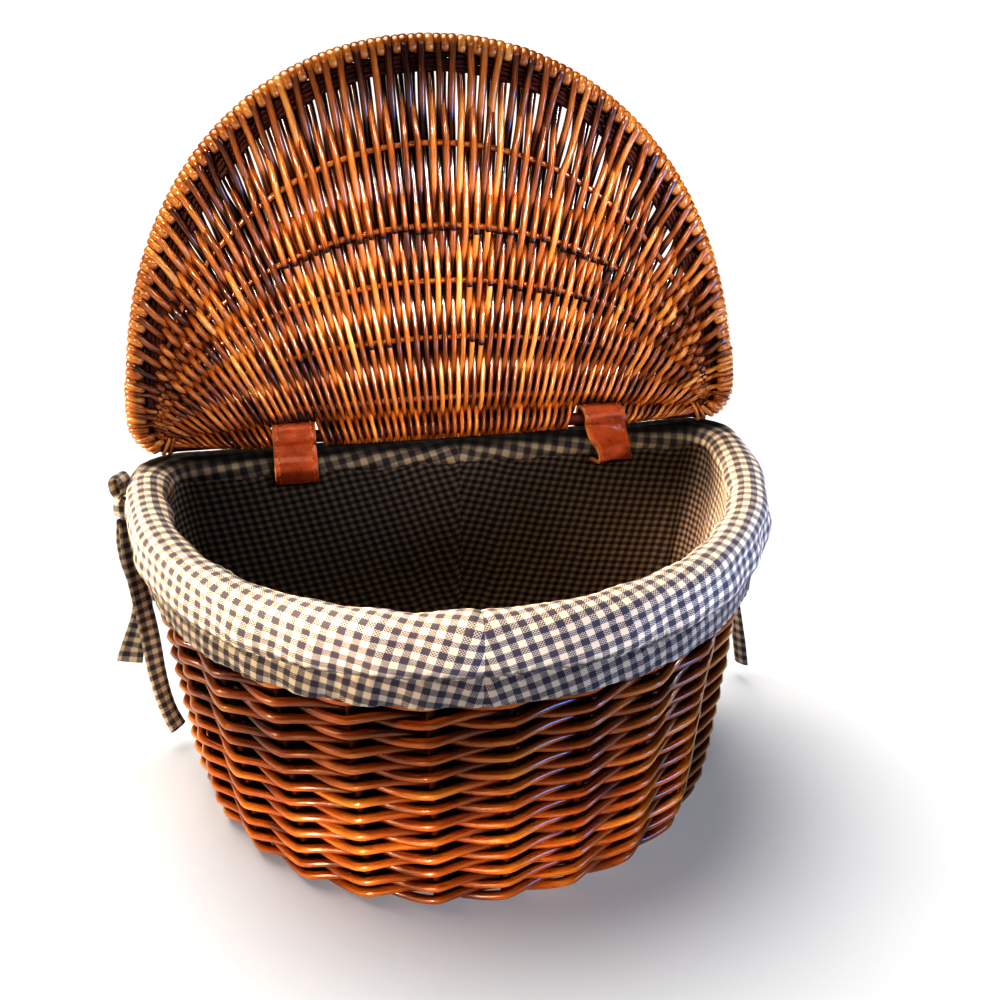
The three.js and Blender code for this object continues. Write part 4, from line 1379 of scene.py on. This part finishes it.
@dataclass
class WovenLid:
    """The lid: thin willow weavers fanned from the hinge rod to the bow, woven over and under arched ribs.

    It is drawn flat, x across, y up from the hinge rod and z towards the inside of the basket, then leaned.
    """

    hinge: Span = (97.5, 186.4)
    lean: float = 13.1
    half_width: float = 166.2
    rise: float = 207.9
    corner: float = 15.0
    bow_power: float = 0.95
    rib_span: float = 157.0
    rib_rises: tuple[float, ...] = (17.5, 51.5, 83.0, 113.0, 157.0)  # lowest first
    rib: float = 1.75
    hinge_core: float = 3.5
    bow_core: float = 3.8
    hinge_end: float = 148.2
    weavers: int = 150
    first_wrap: float = 7.0  # of the weavers, along the bow from its end
    corner_reach: float = 48.0  # along the bow, wound with thin strands
    corner_pitch: float = 3.0
    foot_span: float = 146.0
    foot_bunch: float = 0.55
    foot_fill: float = 0.66  # radius of a weaver at the hinge, against its distance from the next
    bow_radius: float = 2.12
    wrap_flat: float = 0.5
    run_steps: int = 52  # points of a weaver between hinge and bow
    wrap_steps: int = 11  # round the bow
    tuck_steps: int = 6  # round the hinge rod
    ring_sides: int = 8
    bend: float = 0.07  # how far the outermost weavers are bowed, against their length
    # how much shade is painted into the weave's hollows, as a fall of tone
    hollow_shade: float = 0.36
    loops_at: tuple[Span, ...] = ((-83.0, 13.0), (90.5, 14.0))
    inner_rods: tuple[float, ...] = (5.6, 8.0, 10.3, 12.5)  # inside the bow
    inner_rod: float = 1.5

    def stand(self, flat: Array) -> Array:
        """Points of the flat lid, leaned back on the hinge.

        Args:
            flat: points with x across, y up the lid and z out of its face.

        Returns:
            Points in the frame of the solids.
        """
        turn = np.radians(90 - self.lean)
        x, y, z = np.moveaxis(flat, -1, 0)
        back, high = y * np.cos(turn) - z * np.sin(turn), y * np.sin(turn) + z * np.cos(turn)
        return np.stack([x, self.hinge[0] + back, self.hinge[1] + high], axis=-1)

    def turn(self, flat: Array) -> Array:
        """Directions of the flat lid, leaned back."""
        return self.stand(flat) - self.stand(np.zeros(3))

    def arch(self, share: Array, inset: Array | float = 0.0) -> Array:
        """Points of the bow at a share of its width, -1 to 1, moved inwards.

        Args:
            share: where on the bow.
            inset: distance inwards.

        Returns:
            Points of the flat lid.
        """
        turn = np.pi * (1 - (share + 1) / 2)
        x = (self.half_width - inset) * swell(np.cos(turn), self.bow_power)
        y = self.corner + (self.rise - self.corner - inset) * swell(np.sin(turn), self.bow_power)
        return np.stack([x, y, 0 * x], axis=-1)

    def bow_line(self) -> Array:
        """The bow's middle line, with its turned-in ends, left to right.

        Returns:
            Points of the flat lid.
        """
        quarter = np.radians(np.linspace(0, 90, 9))
        x = self.corner - self.half_width - self.corner * np.sin(quarter)
        left = np.stack([x, self.corner * (1 - np.cos(quarter)), 0 * quarter], axis=1)
        arch = self.arch(np.linspace(-1, 1, 121))
        right = left[::-1] * [-1, 1, 1]
        ends = np.array([[self.hinge_end, 0.0, 0.0]])
        return np.concatenate([-ends, left, arch[1:-1], right, ends])

    def rib_line(self, rise: float, count: int = 90) -> Array:
        """An arched rib: x = span cos u, y = rise sin u, left to right, its ends tucked behind the weavers.

        Args:
            rise: height of the arch.
            count: points of the line.

        Returns:
            Points of the flat lid.
        """
        low = np.arcsin(min(0.95, 6.0 / rise))
        u = np.linspace(np.pi - low, low, count)
        x = self.rib_span * np.cos(u)
        return np.stack([x, rise * np.sin(u), -3.0 * np.clip((np.abs(x) - 140.0) / 12.0, 0, 1)], axis=-1)

    def crossing(self, foot: Array, run: Array, rise: float) -> Array:
        """Share of a weaver's length at which it meets a rib: the root of the rib's ellipse along the weaver.

        Args:
            foot: where the weavers start.
            run: from there to their ends.
            rise: height of the rib.

        Returns:
            One share for each weaver.
        """
        a, b = self.rib_span**2, rise**2
        p = run[:, 0] ** 2 / a + run[:, 1] ** 2 / b
        q = foot[:, 0] * run[:, 0] / a
        c = foot[:, 0] ** 2 / a - 1
        return (np.sqrt(q * q - p * c) - q) / p

    @cached_property
    def fan(self) -> Fan:
        """The weavers' plan: evenly spaced along the bow, closer at its corners and at the hinge rod's ends.

        Returns:
            The plan.
        """
        draw = np.random.default_rng(SEED + 100)
        count = self.weavers
        share = np.linspace(-1, 1, count)
        line = self.bow_line()
        total = along(line)[-1]
        ends = int(round((self.corner_reach - self.first_wrap) / self.corner_pitch))
        places = [self.first_wrap, self.corner_reach, total - self.corner_reach, total - self.first_wrap]
        pitch = (places[2] - places[1]) / (count - 1 - 2 * ends)
        order = np.arange(count) + draw.uniform(-0.1, 0.1, count)
        spots = np.interp(order, [0, ends, count - 1 - ends, count - 1], places)
        tops = at_distance(line, spots)
        slope = unit(at_distance(line, spots + 0.5) - at_distance(line, spots - 0.5))
        foot = np.zeros((count, 3))
        foot[:, 0] = self.foot_span * np.sin(self.foot_bunch * share) / np.sin(self.foot_bunch)
        run = tops - foot
        length = np.linalg.norm(run, axis=1)
        ribs = [self.crossing(foot, run, rise) for rise in self.rib_rises]
        inner = np.maximum(1 - np.mean(self.inner_rods) / length, ribs[-1] + 0.03)
        knots = np.stack([0 * share, *ribs, inner, 1 + 0 * share], axis=1)
        knots = np.maximum.accumulate(knots + 1e-5 * np.arange(knots.shape[1]), axis=1)
        corner = np.minimum(spots, total - spots) < self.corner_reach
        wrap_flat = np.where(corner, 1.0, self.wrap_flat)
        foot_radius = self.foot_fill * np.gradient(foot[:, 0]) * draw.uniform(0.95, 1.06, count)
        bow_radius = np.where(corner, 1.5, self.bow_radius) * draw.uniform(0.95, 1.05, count)
        return Fan(
            share=share,
            pitch=pitch,
            foot=foot,
            run=run,
            length=length,
            ahead=run / length[:, None],
            outwards=np.stack([-slope[:, 1], slope[:, 0], 0 * share], axis=1),
            side=np.where(np.arange(count) % 2 == 0, 1.0, -1.0),
            foot_radius=foot_radius,
            bow_radius=bow_radius,
            wrap_flat=wrap_flat,
            wrap_radius=self.bow_core + wrap_flat * bow_radius,
            tone=np.clip(draw.normal(0.5, 0.13, count), 0.24, 0.8),
            knots=knots,
            bunch=np.stack([self.bunches(count, draw) for _ in range(2)]),
        )

    def plan(self, chosen: Array, t: Array) -> Array:
        """Places of weavers in the lid's plane: a straight line that is bowed, and drawn aside into bunches.

        Args:
            chosen: which weavers.
            t: shares of their length, (weavers, points).

        Returns:
            Points (weavers, points, 3) with z = 0.
        """
        fan = self.fan
        share, length = fan.share[chosen, None], fan.length[chosen, None]
        high, middle = fan.knots[chosen, 5, None], fan.knots[chosen, 3, None]
        near_top = np.sin(np.pi * np.clip((t - high) / (1 - high), 0, 1))
        lower = np.sin(np.pi * np.clip((t - middle) / (1 - middle), 0, 1)) ** 2
        wide = np.clip(1.7 * np.abs(share) - 0.1, 0.15, 1)
        near_top = near_top * (1 + 0.9 * bell(share, 0.36, 0.2) + 0.4 * bell(share, -0.5, 0.15))
        aside = fan.pitch * (fan.bunch[0, chosen, None] * near_top + wide * fan.bunch[1, chosen, None] * lower)
        aside = aside + self.bend * length * share * np.abs(share) * 4 * t * (1 - t)
        across = np.cross(UP, fan.ahead[chosen])[:, None]
        return fan.foot[chosen, None] + t[..., None] * fan.run[chosen, None] + aside[..., None] * across

    def weaver_shapes(self) -> list[Shape]:
        """The weavers that are wrapped round the hinge rod, and those that end at a rib above a hinge loop.

        Returns:
            The two groups.
        """
        fan = self.fan
        above = fan.foot[:, 0] + 4.5 * fan.run[:, 0] / fan.run[:, 1]
        near_loop = np.any([np.abs(above - x) < wide for x, wide in self.loops_at], axis=0)
        return [self.weaver_group(~near_loop, True), self.weaver_group(near_loop, False)]

    @cached_property
    def weaver_heights(self) -> Array:
        """Heights of the weavers at their knots: neighbours take opposite sides, less far where knots are close.

        Returns:
            Heights, one row a weaver and one column a knot.
        """
        fan = self.fan
        signs = fan.side[:, None] * np.array([1, -1, 1, -1, 1, -1, 1, 1])
        ribs = [self.rib + 1.05 * fan.foot_radius] * len(self.rib_rises)
        reach = [self.hinge_core + fan.foot_radius, *ribs, self.inner_rod + fan.bow_radius, fan.wrap_radius]
        room = np.diff(fan.knots, axis=1) * fan.length[:, None]
        room = np.minimum(np.pad(room, ((0, 0), (1, 0)), "edge"), np.pad(room, ((0, 0), (0, 1)), "edge"))
        ease = np.clip(room / 8.0, 0.15, 1)
        ease[:, [0, -1]] = 1.0
        return signs * np.stack(reach, axis=1) * ease

    def weaver_group(self, chosen: Array, wrapped: bool) -> Shape:
        """Weavers: their height a cosine wave from rib to rib, their ends turned on round the bow.

        One that comes from the front of the bow ends behind it, and one from behind ends in front. Shade is
        painted into the hollows: a point's tone falls with its depth below the weave's local face.

        Args:
            chosen: which weavers.
            wrapped: whether they are wound round the hinge rod, or else end at the lowest rib.

        Returns:
            The weavers, standing.
        """
        fan = self.fan
        ahead, length = fan.ahead[chosen, None], fan.length[chosen]
        sign = fan.side[chosen, None, None]
        foot_r, bow_r, end_flat = (column[chosen, None] for column in (fan.foot_radius, fan.bow_radius, fan.wrap_flat))
        start = np.where(wrapped, 0.0, fan.knots[chosen, 1] - 7.4 / length)[:, None]
        t = start + (1 - start) * np.linspace(0, 1, self.run_steps)[None]
        z = self.weave_height(t, fan.knots[chosen], self.weaver_heights[chosen])
        radius = foot_r + (bow_r - foot_r) * t
        radius = radius * (1 + 0.12 * np.sin(np.pi * t) + (0.55 - 0.32 * t) * np.clip(-z / 3.0, 0, 1))
        paths = self.plan(chosen, t)
        paths[..., 2] = z
        across = np.cross(UP, ahead) + 0 * paths
        flat = 1 + (end_flat - 1) * np.clip((t - 0.93) / 0.07, 0, 1)
        lead = unit(0.5 * fan.ahead[chosen] + 0.5 * fan.outwards[chosen])[:, None]
        over = np.radians(np.linspace(20, 225, self.wrap_steps))[None, :, None]
        wrap = np.sin(over) * lead + np.cos(over) * sign * UP
        wrap = (fan.foot + fan.run)[chosen, None] + fan.wrap_radius[chosen, None, None] * wrap
        bead = 1.16 * bow_r * np.linspace(0.97, 1.03, self.wrap_steps)
        wrap_flat = np.repeat(end_flat, self.wrap_steps, 1)
        parts = [
            (paths, radius, across, flat, np.abs(z) + radius),
            (wrap, bead, np.cross(UP, lead) + 0 * wrap, wrap_flat, 0 * wrap_flat),
        ]
        if wrapped:
            from_turn = np.where(fan.side[chosen] > 0, 170.0, 100.0)[:, None]
            under = np.radians(from_turn + (20 - from_turn) * np.linspace(0, 1, self.tuck_steps))[..., None]
            tuck = np.cos(under) * sign * UP - np.sin(under) * ahead
            tuck = fan.foot[chosen, None] + (self.hinge_core + foot_r)[..., None] * tuck
            thin = np.repeat(foot_r, self.tuck_steps, 1)
            parts.insert(0, (tuck, thin, across[:, : self.tuck_steps], 1 + 0 * thin, 0 * thin))
        whole, thick, sides, flat, face = (np.concatenate(part, axis=1) for part in zip(*parts))
        level = np.repeat(fan.tone[chosen, None], whole.shape[1], axis=1)
        level[:, -self.wrap_steps :] = 0.32 + 0.55 * level[:, -self.wrap_steps :]
        # Painted shade: weavers that end at a rib darken towards their cut ends.
        if not wrapped:
            level = level * np.clip(np.arange(whole.shape[1]) / 3.0, 0, 1)
        shape = tubes(self.stand(whole), thick, self.turn(sides), self.ring_sides, level, flat=flat)
        # Painted shade: the tone falls with depth below the weave's local face.
        off = np.abs((shape.points - self.stand(np.zeros(3))) @ self.turn(UP))
        depth = np.repeat(face.reshape(-1), self.ring_sides) - off
        shape.tone = shape.tone - self.hollow_shade * np.clip(depth / 2.8, 0, 1) ** 1.2
        return shape

    @staticmethod
    def bunches(count: int, draw: np.random.Generator) -> Array:
        """Sideways moves, in pitches, that draw weavers together in groups of two to four.

        Within a group the move is -squeeze (place - middle of the group), which leaves a slit between groups.

        Args:
            count: number of weavers.
            draw: the seeded source of chance.

        Returns:
            One move for each weaver.
        """
        sizes = draw.integers(2, 5, count)
        group = np.repeat(np.arange(count), sizes)[:count]
        place = np.arange(count)
        middle = np.bincount(group, place) / np.maximum(np.bincount(group), 1)
        squeeze = draw.uniform(0.1, 0.28, count)
        return -squeeze[group] * (place - middle[group]) + draw.normal(0, 0.04, count)

    @staticmethod
    def weave_height(t: Array, knots: Array, heights: Array) -> Array:
        """Heights along weavers: from knot to knot, a + (b - a) (1 - cos(pi w)) / 2.

        Args:
            t: (weavers, points) shares of the length.
            knots: (weavers, knots) shares at which the height is given.
            heights: the given heights.

        Returns:
            Heights in the shape of t.
        """
        k = np.clip((t[:, :, None] >= knots[:, None, :]).sum(-1) - 1, 0, knots.shape[1] - 2)
        a, b = np.take_along_axis(heights, k, 1), np.take_along_axis(heights, k + 1, 1)
        low, high = np.take_along_axis(knots, k, 1), np.take_along_axis(knots, k + 1, 1)
        w = np.clip((t - low) / (high - low), 0, 1)
        return a + (b - a) * (1 - np.cos(np.pi * w)) / 2

    def rod(self, line: Array, radius: Array | float, tone: float, sides: int = 10) -> Shape:
        """One rod along a line of the flat lid."""
        return tubes(self.stand(line)[None], np.broadcast_to(radius, len(line))[None], self.turn(UP), sides, tone)

    def corner_wraps(self) -> Shape:
        """Thin strands wound round the bow's turned-in ends, below the weavers: slanting rings.

        Returns:
            The rings as closed rods.
        """
        line = self.bow_line()
        at = np.arange(1.2, self.first_wrap - 0.5, self.corner_pitch)
        spots = at_distance(line, at)
        ahead = unit(at_distance(line, at + 0.5) - at_distance(line, at - 0.5))
        turn = 2 * np.pi * np.arange(18) / 18
        across = np.cross(UP, ahead)
        ring = np.cos(turn)[None, :, None] * across[:, None] + np.sin(turn)[None, :, None] * UP
        left = spots[:, None] + (self.bow_core + 1.1) * ring + 1.8 * np.cos(turn)[None, :, None] * ahead[:, None]
        paths = np.concatenate([left, (left * [-1, 1, 1])[:, ::-1]])
        side = np.concatenate([ahead, ahead * [-1, 1, 1]])[:, None]
        tone = 0.55 + np.random.default_rng(SEED + 130).uniform(-0.14, 0.16, (len(paths), 1))
        return tubes(self.stand(paths), 1.2, self.turn(side), 6, tone, closed=True)

    def butts(self) -> Shape:
        """Cut ends of added weavers: stubs over the weavers in front, painted dark as in shade where they start at a
        rib.

        Returns:
            The stubs as rods.
        """
        draw = np.random.default_rng(SEED + 140)
        fan = self.fan
        picks, places = [], []
        for rib, low, high, part in ((4, -0.36, 0.48, 0.8), (3, -0.1, 0.6, 0.45), (2, -0.5, 0.55, 0.12)):
            front = fan.side * (1 if rib % 2 == 0 else -1) > 0
            pool = np.flatnonzero(front & (fan.share > low) & (fan.share < high))
            pool = pool[draw.random(len(pool)) < part]
            picks.append(pool)
            places.append(fan.knots[pool, rib])
        chosen, at = np.concatenate(picks), np.concatenate(places)
        steps = np.array([-3.4, -3.2, -2.4, 0.0, 6.0, 12.0, 17.0, 22.0])
        t = at[:, None] + (steps[None] + draw.uniform(-1.2, 1.2, (len(at), 1))) / fan.length[chosen, None]
        paths = self.plan(chosen, t)
        paths[..., 2] = np.array([4.2, 4.2, 4.3, 4.4, 4.0, 2.9, 1.4, -0.6])[None]
        radius = np.array([1.15, 1.5, 1.6, 1.6, 1.6, 1.55, 1.5, 1.4])[None] * draw.uniform(0.92, 1.1, (len(at), 1))
        tone = np.array([0.0, 0.0, 0.05, 0.42, 0.52, 0.52, 0.45, 0.3])[None] + 0 * radius
        across = self.turn(np.cross(UP, fan.ahead[chosen]))[:, None]
        shape = tubes(self.stand(paths), radius, across, 8, tone)
        # Painted shade: the first two lengths of each stub take the shaded willow.
        dark = np.repeat(np.arange(len(steps) - 1) < 2, 8).astype(int)
        shape.kind = [np.tile(dark, len(at)), np.repeat([1, 0], len(at))]
        return shape

    def splice(self) -> Shape:
        """A smooth spliced rod along the outside of the bow's right shoulder, thinned to both ends.

        Returns:
            The rod.
        """
        share = np.linspace(0.36, 0.78, 40)
        line = self.arch(share)
        ahead = unit(np.gradient(line, axis=0))
        w = np.linspace(-1, 1, 40)
        line = line + (4.3 - 2.6 * w**4)[:, None] * np.stack([-ahead[:, 1], ahead[:, 0], 0 * share], axis=1)
        line[:, 2] = -7.2 + 0.4 * w**4
        return self.rod(line, 2.3 * np.sqrt(np.clip(1 - np.abs(w) ** 5, 0.04, 1)), 0.62)

    def build(self, finishes: Finishes) -> None:
        """Makes the weavers, the ribs, the bow, the hinge rod and the small ends.

        Args:
            finishes: the shared materials.
        """
        bands = [f"lid_weave_{k}" for k in range(1, 6)]
        bands += ["lid_weave_foot_left", "lid_weave_foot_middle", "lid_weave_foot_right"]
        bands += ["lid_weave_corner_left", "lid_weave_corner_right"]
        weave = Shape.joined([*self.weaver_shapes(), self.butts()])
        weave = weave.piece("lid_weavers", finishes.thin_willow, finishes.painted_shade_willow)
        attach(weave, Body.LID, Slot.WILLOW, *bands)
        ribs = Shape.joined([self.rod(self.rib_line(rise), self.rib, 0.46) for rise in self.rib_rises])
        ribs = ribs.piece("lid_ribs", finishes.thin_willow)
        attach(ribs, Body.LID, Slot.DARK_WILLOW, *[f"lid_rib_{k}" for k in range(1, 6)])
        # The bow's core and inner rods take the willow painted dark as in shade.
        core = [self.rod(self.bow_line(), self.bow_core, 0.3)]
        share = np.linspace(-0.995, 0.995, 160)
        for seed, inset in enumerate(self.inner_rods):
            sway = ripple((share + 1) / 2, (4, 22), 6, SEED + 150 + seed)
            line = self.arch(share, inset + 0.4 * sway)
            line[:, 2] = 0.5 * np.roll(sway, 40)
            core.append(self.rod(line, self.inner_rod * (1 + 0.1 * sway), 0.4))
        wraps = self.corner_wraps()
        wraps.kind = [1]
        bow = Shape.joined([*core, wraps]).piece("lid_bow_rods", finishes.painted_shade_willow, finishes.thin_willow)
        attach(bow, Body.LID, Slot.DARK_WILLOW, "lid_bow")
        ends = np.linspace(-self.hinge_end, self.hinge_end, 40)
        straight = np.stack([ends, 0 * ends, 0 * ends], axis=1)
        # The hinge rod takes the willow painted dark as in shade.
        hinge = self.rod(straight, self.hinge_core, 0.4, 14).piece("lid_hinge_willow", finishes.painted_shade_willow)
        attach(hinge, Body.LID, Slot.DARK_WILLOW, "lid_hinge_rod")
        splice = self.splice().piece("lid_splice_willow", finishes.thin_willow)
        attach(splice, Body.LID, Slot.WILLOW, "lid_splice_rod")


# ---- Studio


@dataclass
class Studio:
    """The camera, a pale floor and soft light."""

    eye: Spot = (-0.09670, -0.62679, 0.50669)
    yaw: float = 10.24
    pitch: float = 26.63
    roll: float = 0.33
    lens: float = 50.436
    floor_half: float = 6.0
    air_light: float = 0.012  # brightness of the room, as a light
    air_seen: float = 0.95  # and as the camera sees it

    def camera(self) -> None:
        """Sets up the camera: it looks along yaw and pitch, turned by roll about its own axis."""
        yaw, pitch, roll = np.radians([self.yaw, self.pitch, self.roll])
        ahead = np.array([np.sin(yaw) * np.cos(pitch), np.cos(yaw) * np.cos(pitch), -np.sin(pitch)])
        right = np.array([np.cos(yaw), -np.sin(yaw), 0.0])
        up = np.cross(right, ahead)
        right, up = right * np.cos(roll) + up * np.sin(roll), up * np.cos(roll) - right * np.sin(roll)
        lens = bpy.data.cameras.new("camera")
        lens.lens, lens.sensor_width, lens.sensor_fit = self.lens, 36.0, "HORIZONTAL"
        lens.clip_start, lens.clip_end = 0.01, 50.0
        bpy.context.scene.camera = self.put(lens, self.eye, right, -ahead)

    @staticmethod
    def put(data: bpy.types.ID, place: Spot, right: Array, back: Array) -> bpy.types.Object:
        """Links a camera or light at a place, from the directions of its own x and z.

        Args:
            data: the camera or light.
            place: where it stands, in metres.
            right: direction of its x.
            back: direction of its z, away from what it faces.

        Returns:
            The new object.
        """
        pose = np.eye(4)
        pose[:3, :3] = np.stack([right, np.cross(back, right), back], axis=1)
        pose[:3, 3] = place
        made = bpy.data.objects.new(data.name, data)
        made.matrix_world = Matrix(pose.tolist())
        bpy.context.scene.collection.objects.link(made)
        return made

    def area(
        self, name: str, place: Spot, aim: Spot, size: Span, power: float, colour: str, spread: float = 180.0
    ) -> None:
        """Adds an oblong soft light.

        Args:
            name: name of the light.
            place: its middle.
            aim: the point that it faces.
            size: width and height.
            power: watts.
            colour: sRGB hex code.
            spread: how wide it shines, in degrees, as through a grid.
        """
        light = bpy.data.lights.new(name, "AREA")
        light.shape, light.size, light.size_y = "RECTANGLE", *size
        light.energy, light.color, light.spread = power, linear(colour)[:3], np.radians(spread)
        back = unit(np.array(place) - np.array(aim))
        self.put(light, place, unit(np.cross(UP, back)), back)

    def sun(self, name: str, towards: Spot, spread: float, power: float, colour: str) -> None:
        """Adds a far soft light that shines from a direction, spread over some degrees.

        Args:
            name: name of the light.
            towards: direction of the light, from the basket.
            spread: its width as seen from the basket, in degrees.
            power: watts on a square metre.
            colour: sRGB hex code.
        """
        light = bpy.data.lights.new(name, "SUN")
        light.angle, light.energy, light.color = np.radians(spread), power, linear(colour)[:3]
        back = unit(np.array(towards))
        self.put(light, tuple(back * 3.0), unit(np.cross([0.0, 1.0, 0.001], back)), back)

    def build(self) -> None:
        """Makes the floor and the lights."""
        world = bpy.data.worlds.new("studio_air")
        world.use_nodes = True
        tree = world.node_tree
        tree.nodes.clear()
        # A white room, but dim: only the camera sees its full brightness.
        seen = add(tree, "LightPath").outputs["Is Camera Ray"]
        bright = add(tree, "MapRange", Value=seen, To_Min=self.air_light, To_Max=self.air_seen)
        air = add(tree, "Background", Color=linear("#f4f7fb"), Strength=bright)
        add(tree, "OutputWorld", Surface=air)
        scene = bpy.context.scene
        scene.world = world
        scene.view_settings.view_transform = "Standard"
        scene.view_settings.look = "Very High Contrast"
        self.sun("key", (-0.24, 0.34, 0.91), 50.0, 2.75, "#fff8ee")
        self.area("lid_left", (-0.45, -0.85, 0.9), (-0.03, 0.115, 0.278), (0.25, 0.05), 0.1, "#fff0dd", 12.5)
        self.area("lid_right", (0.6, -0.8, 0.9), (0.04, 0.115, 0.278), (0.25, 0.05), 0.125, "#f4f2ff", 12.5)
        self.area("rim_front", (-0.5, -1.5, 0.25), (0.0, -0.1, 0.172), (0.35, 0.03), 0.028, "#fff0dd", 5.0)
        self.area("rim_left", (-1.25, 0.15, 0.38), (-0.08, 0.0, 0.174), (0.3, 0.05), 0.15, "#ffe9d0", 9.0)
        self.area("rim_right", (1.25, 0.2, 0.38), (0.08, 0.0, 0.172), (0.3, 0.05), 0.05, "#d5e3ff", 9.0)
        self.area("bag_right", (-1.2, -0.35, 0.66), (0.16, 0.01, 0.11), (0.1, 0.05), 0.065, "#ffdcc4", 4.6)
        self.area("wall_left", (-1.0, -1.2, 0.06), (0.0, 0.0, 0.035), (0.4, 0.04), 0.12, "#fff0dd", 5.5)
        self.area("cool_side", (1.0, -0.9, 0.12), (0.05, 0.0, 0.1), (0.4, 0.12), 6.5, "#6fa6ff")
        half = self.floor_half / MM
        corners = np.array([[-half, -half, 0], [half, -half, 0], [half, half, 0], [-half, half, 0]])
        shape = Shape(corners, [np.array([[0, 1, 2, 3]])], [np.zeros((1, 4, 2))], np.zeros(4), [0])
        shape.piece("floor", PaleFloor().material())


def dress_border(finishes: Finishes) -> None:
    """Gives the solid that stays, the border under the cloth, the willow finish that is painted dark as in shade.

    Args:
        finishes: the shared materials.
    """
    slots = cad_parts["rim_border"].data.materials
    slots.clear()
    slots.append(finishes.painted_shade_willow)


def main() -> None:
    """Builds the camera, the cords and then every other piece."""
    logging.basicConfig(level=logging.INFO, format="%(name)s %(message)s")
    studio = Studio()
    studio.camera()
    finishes = Finishes.made()
    form = BasketForm()
    Ties().build(finishes)
    WovenWall(form).build(finishes)
    WovenBase(form).build(finishes)
    loops = [
        HingeLoop("strap_left", -83.0, drop=0.76),
        HingeLoop("strap_right", 92.0, yaw=26.0, shear=0.3, ahead=3.6, drop=0.72),
    ]
    ClothLining(form).build(finishes, np.concatenate([loop.slits for loop in loops]))
    for loop in loops:
        loop.build(finishes)
    WovenLid().build(finishes)
    dress_border(finishes)
    studio.build()


if __name__ == "__main__":
    main()
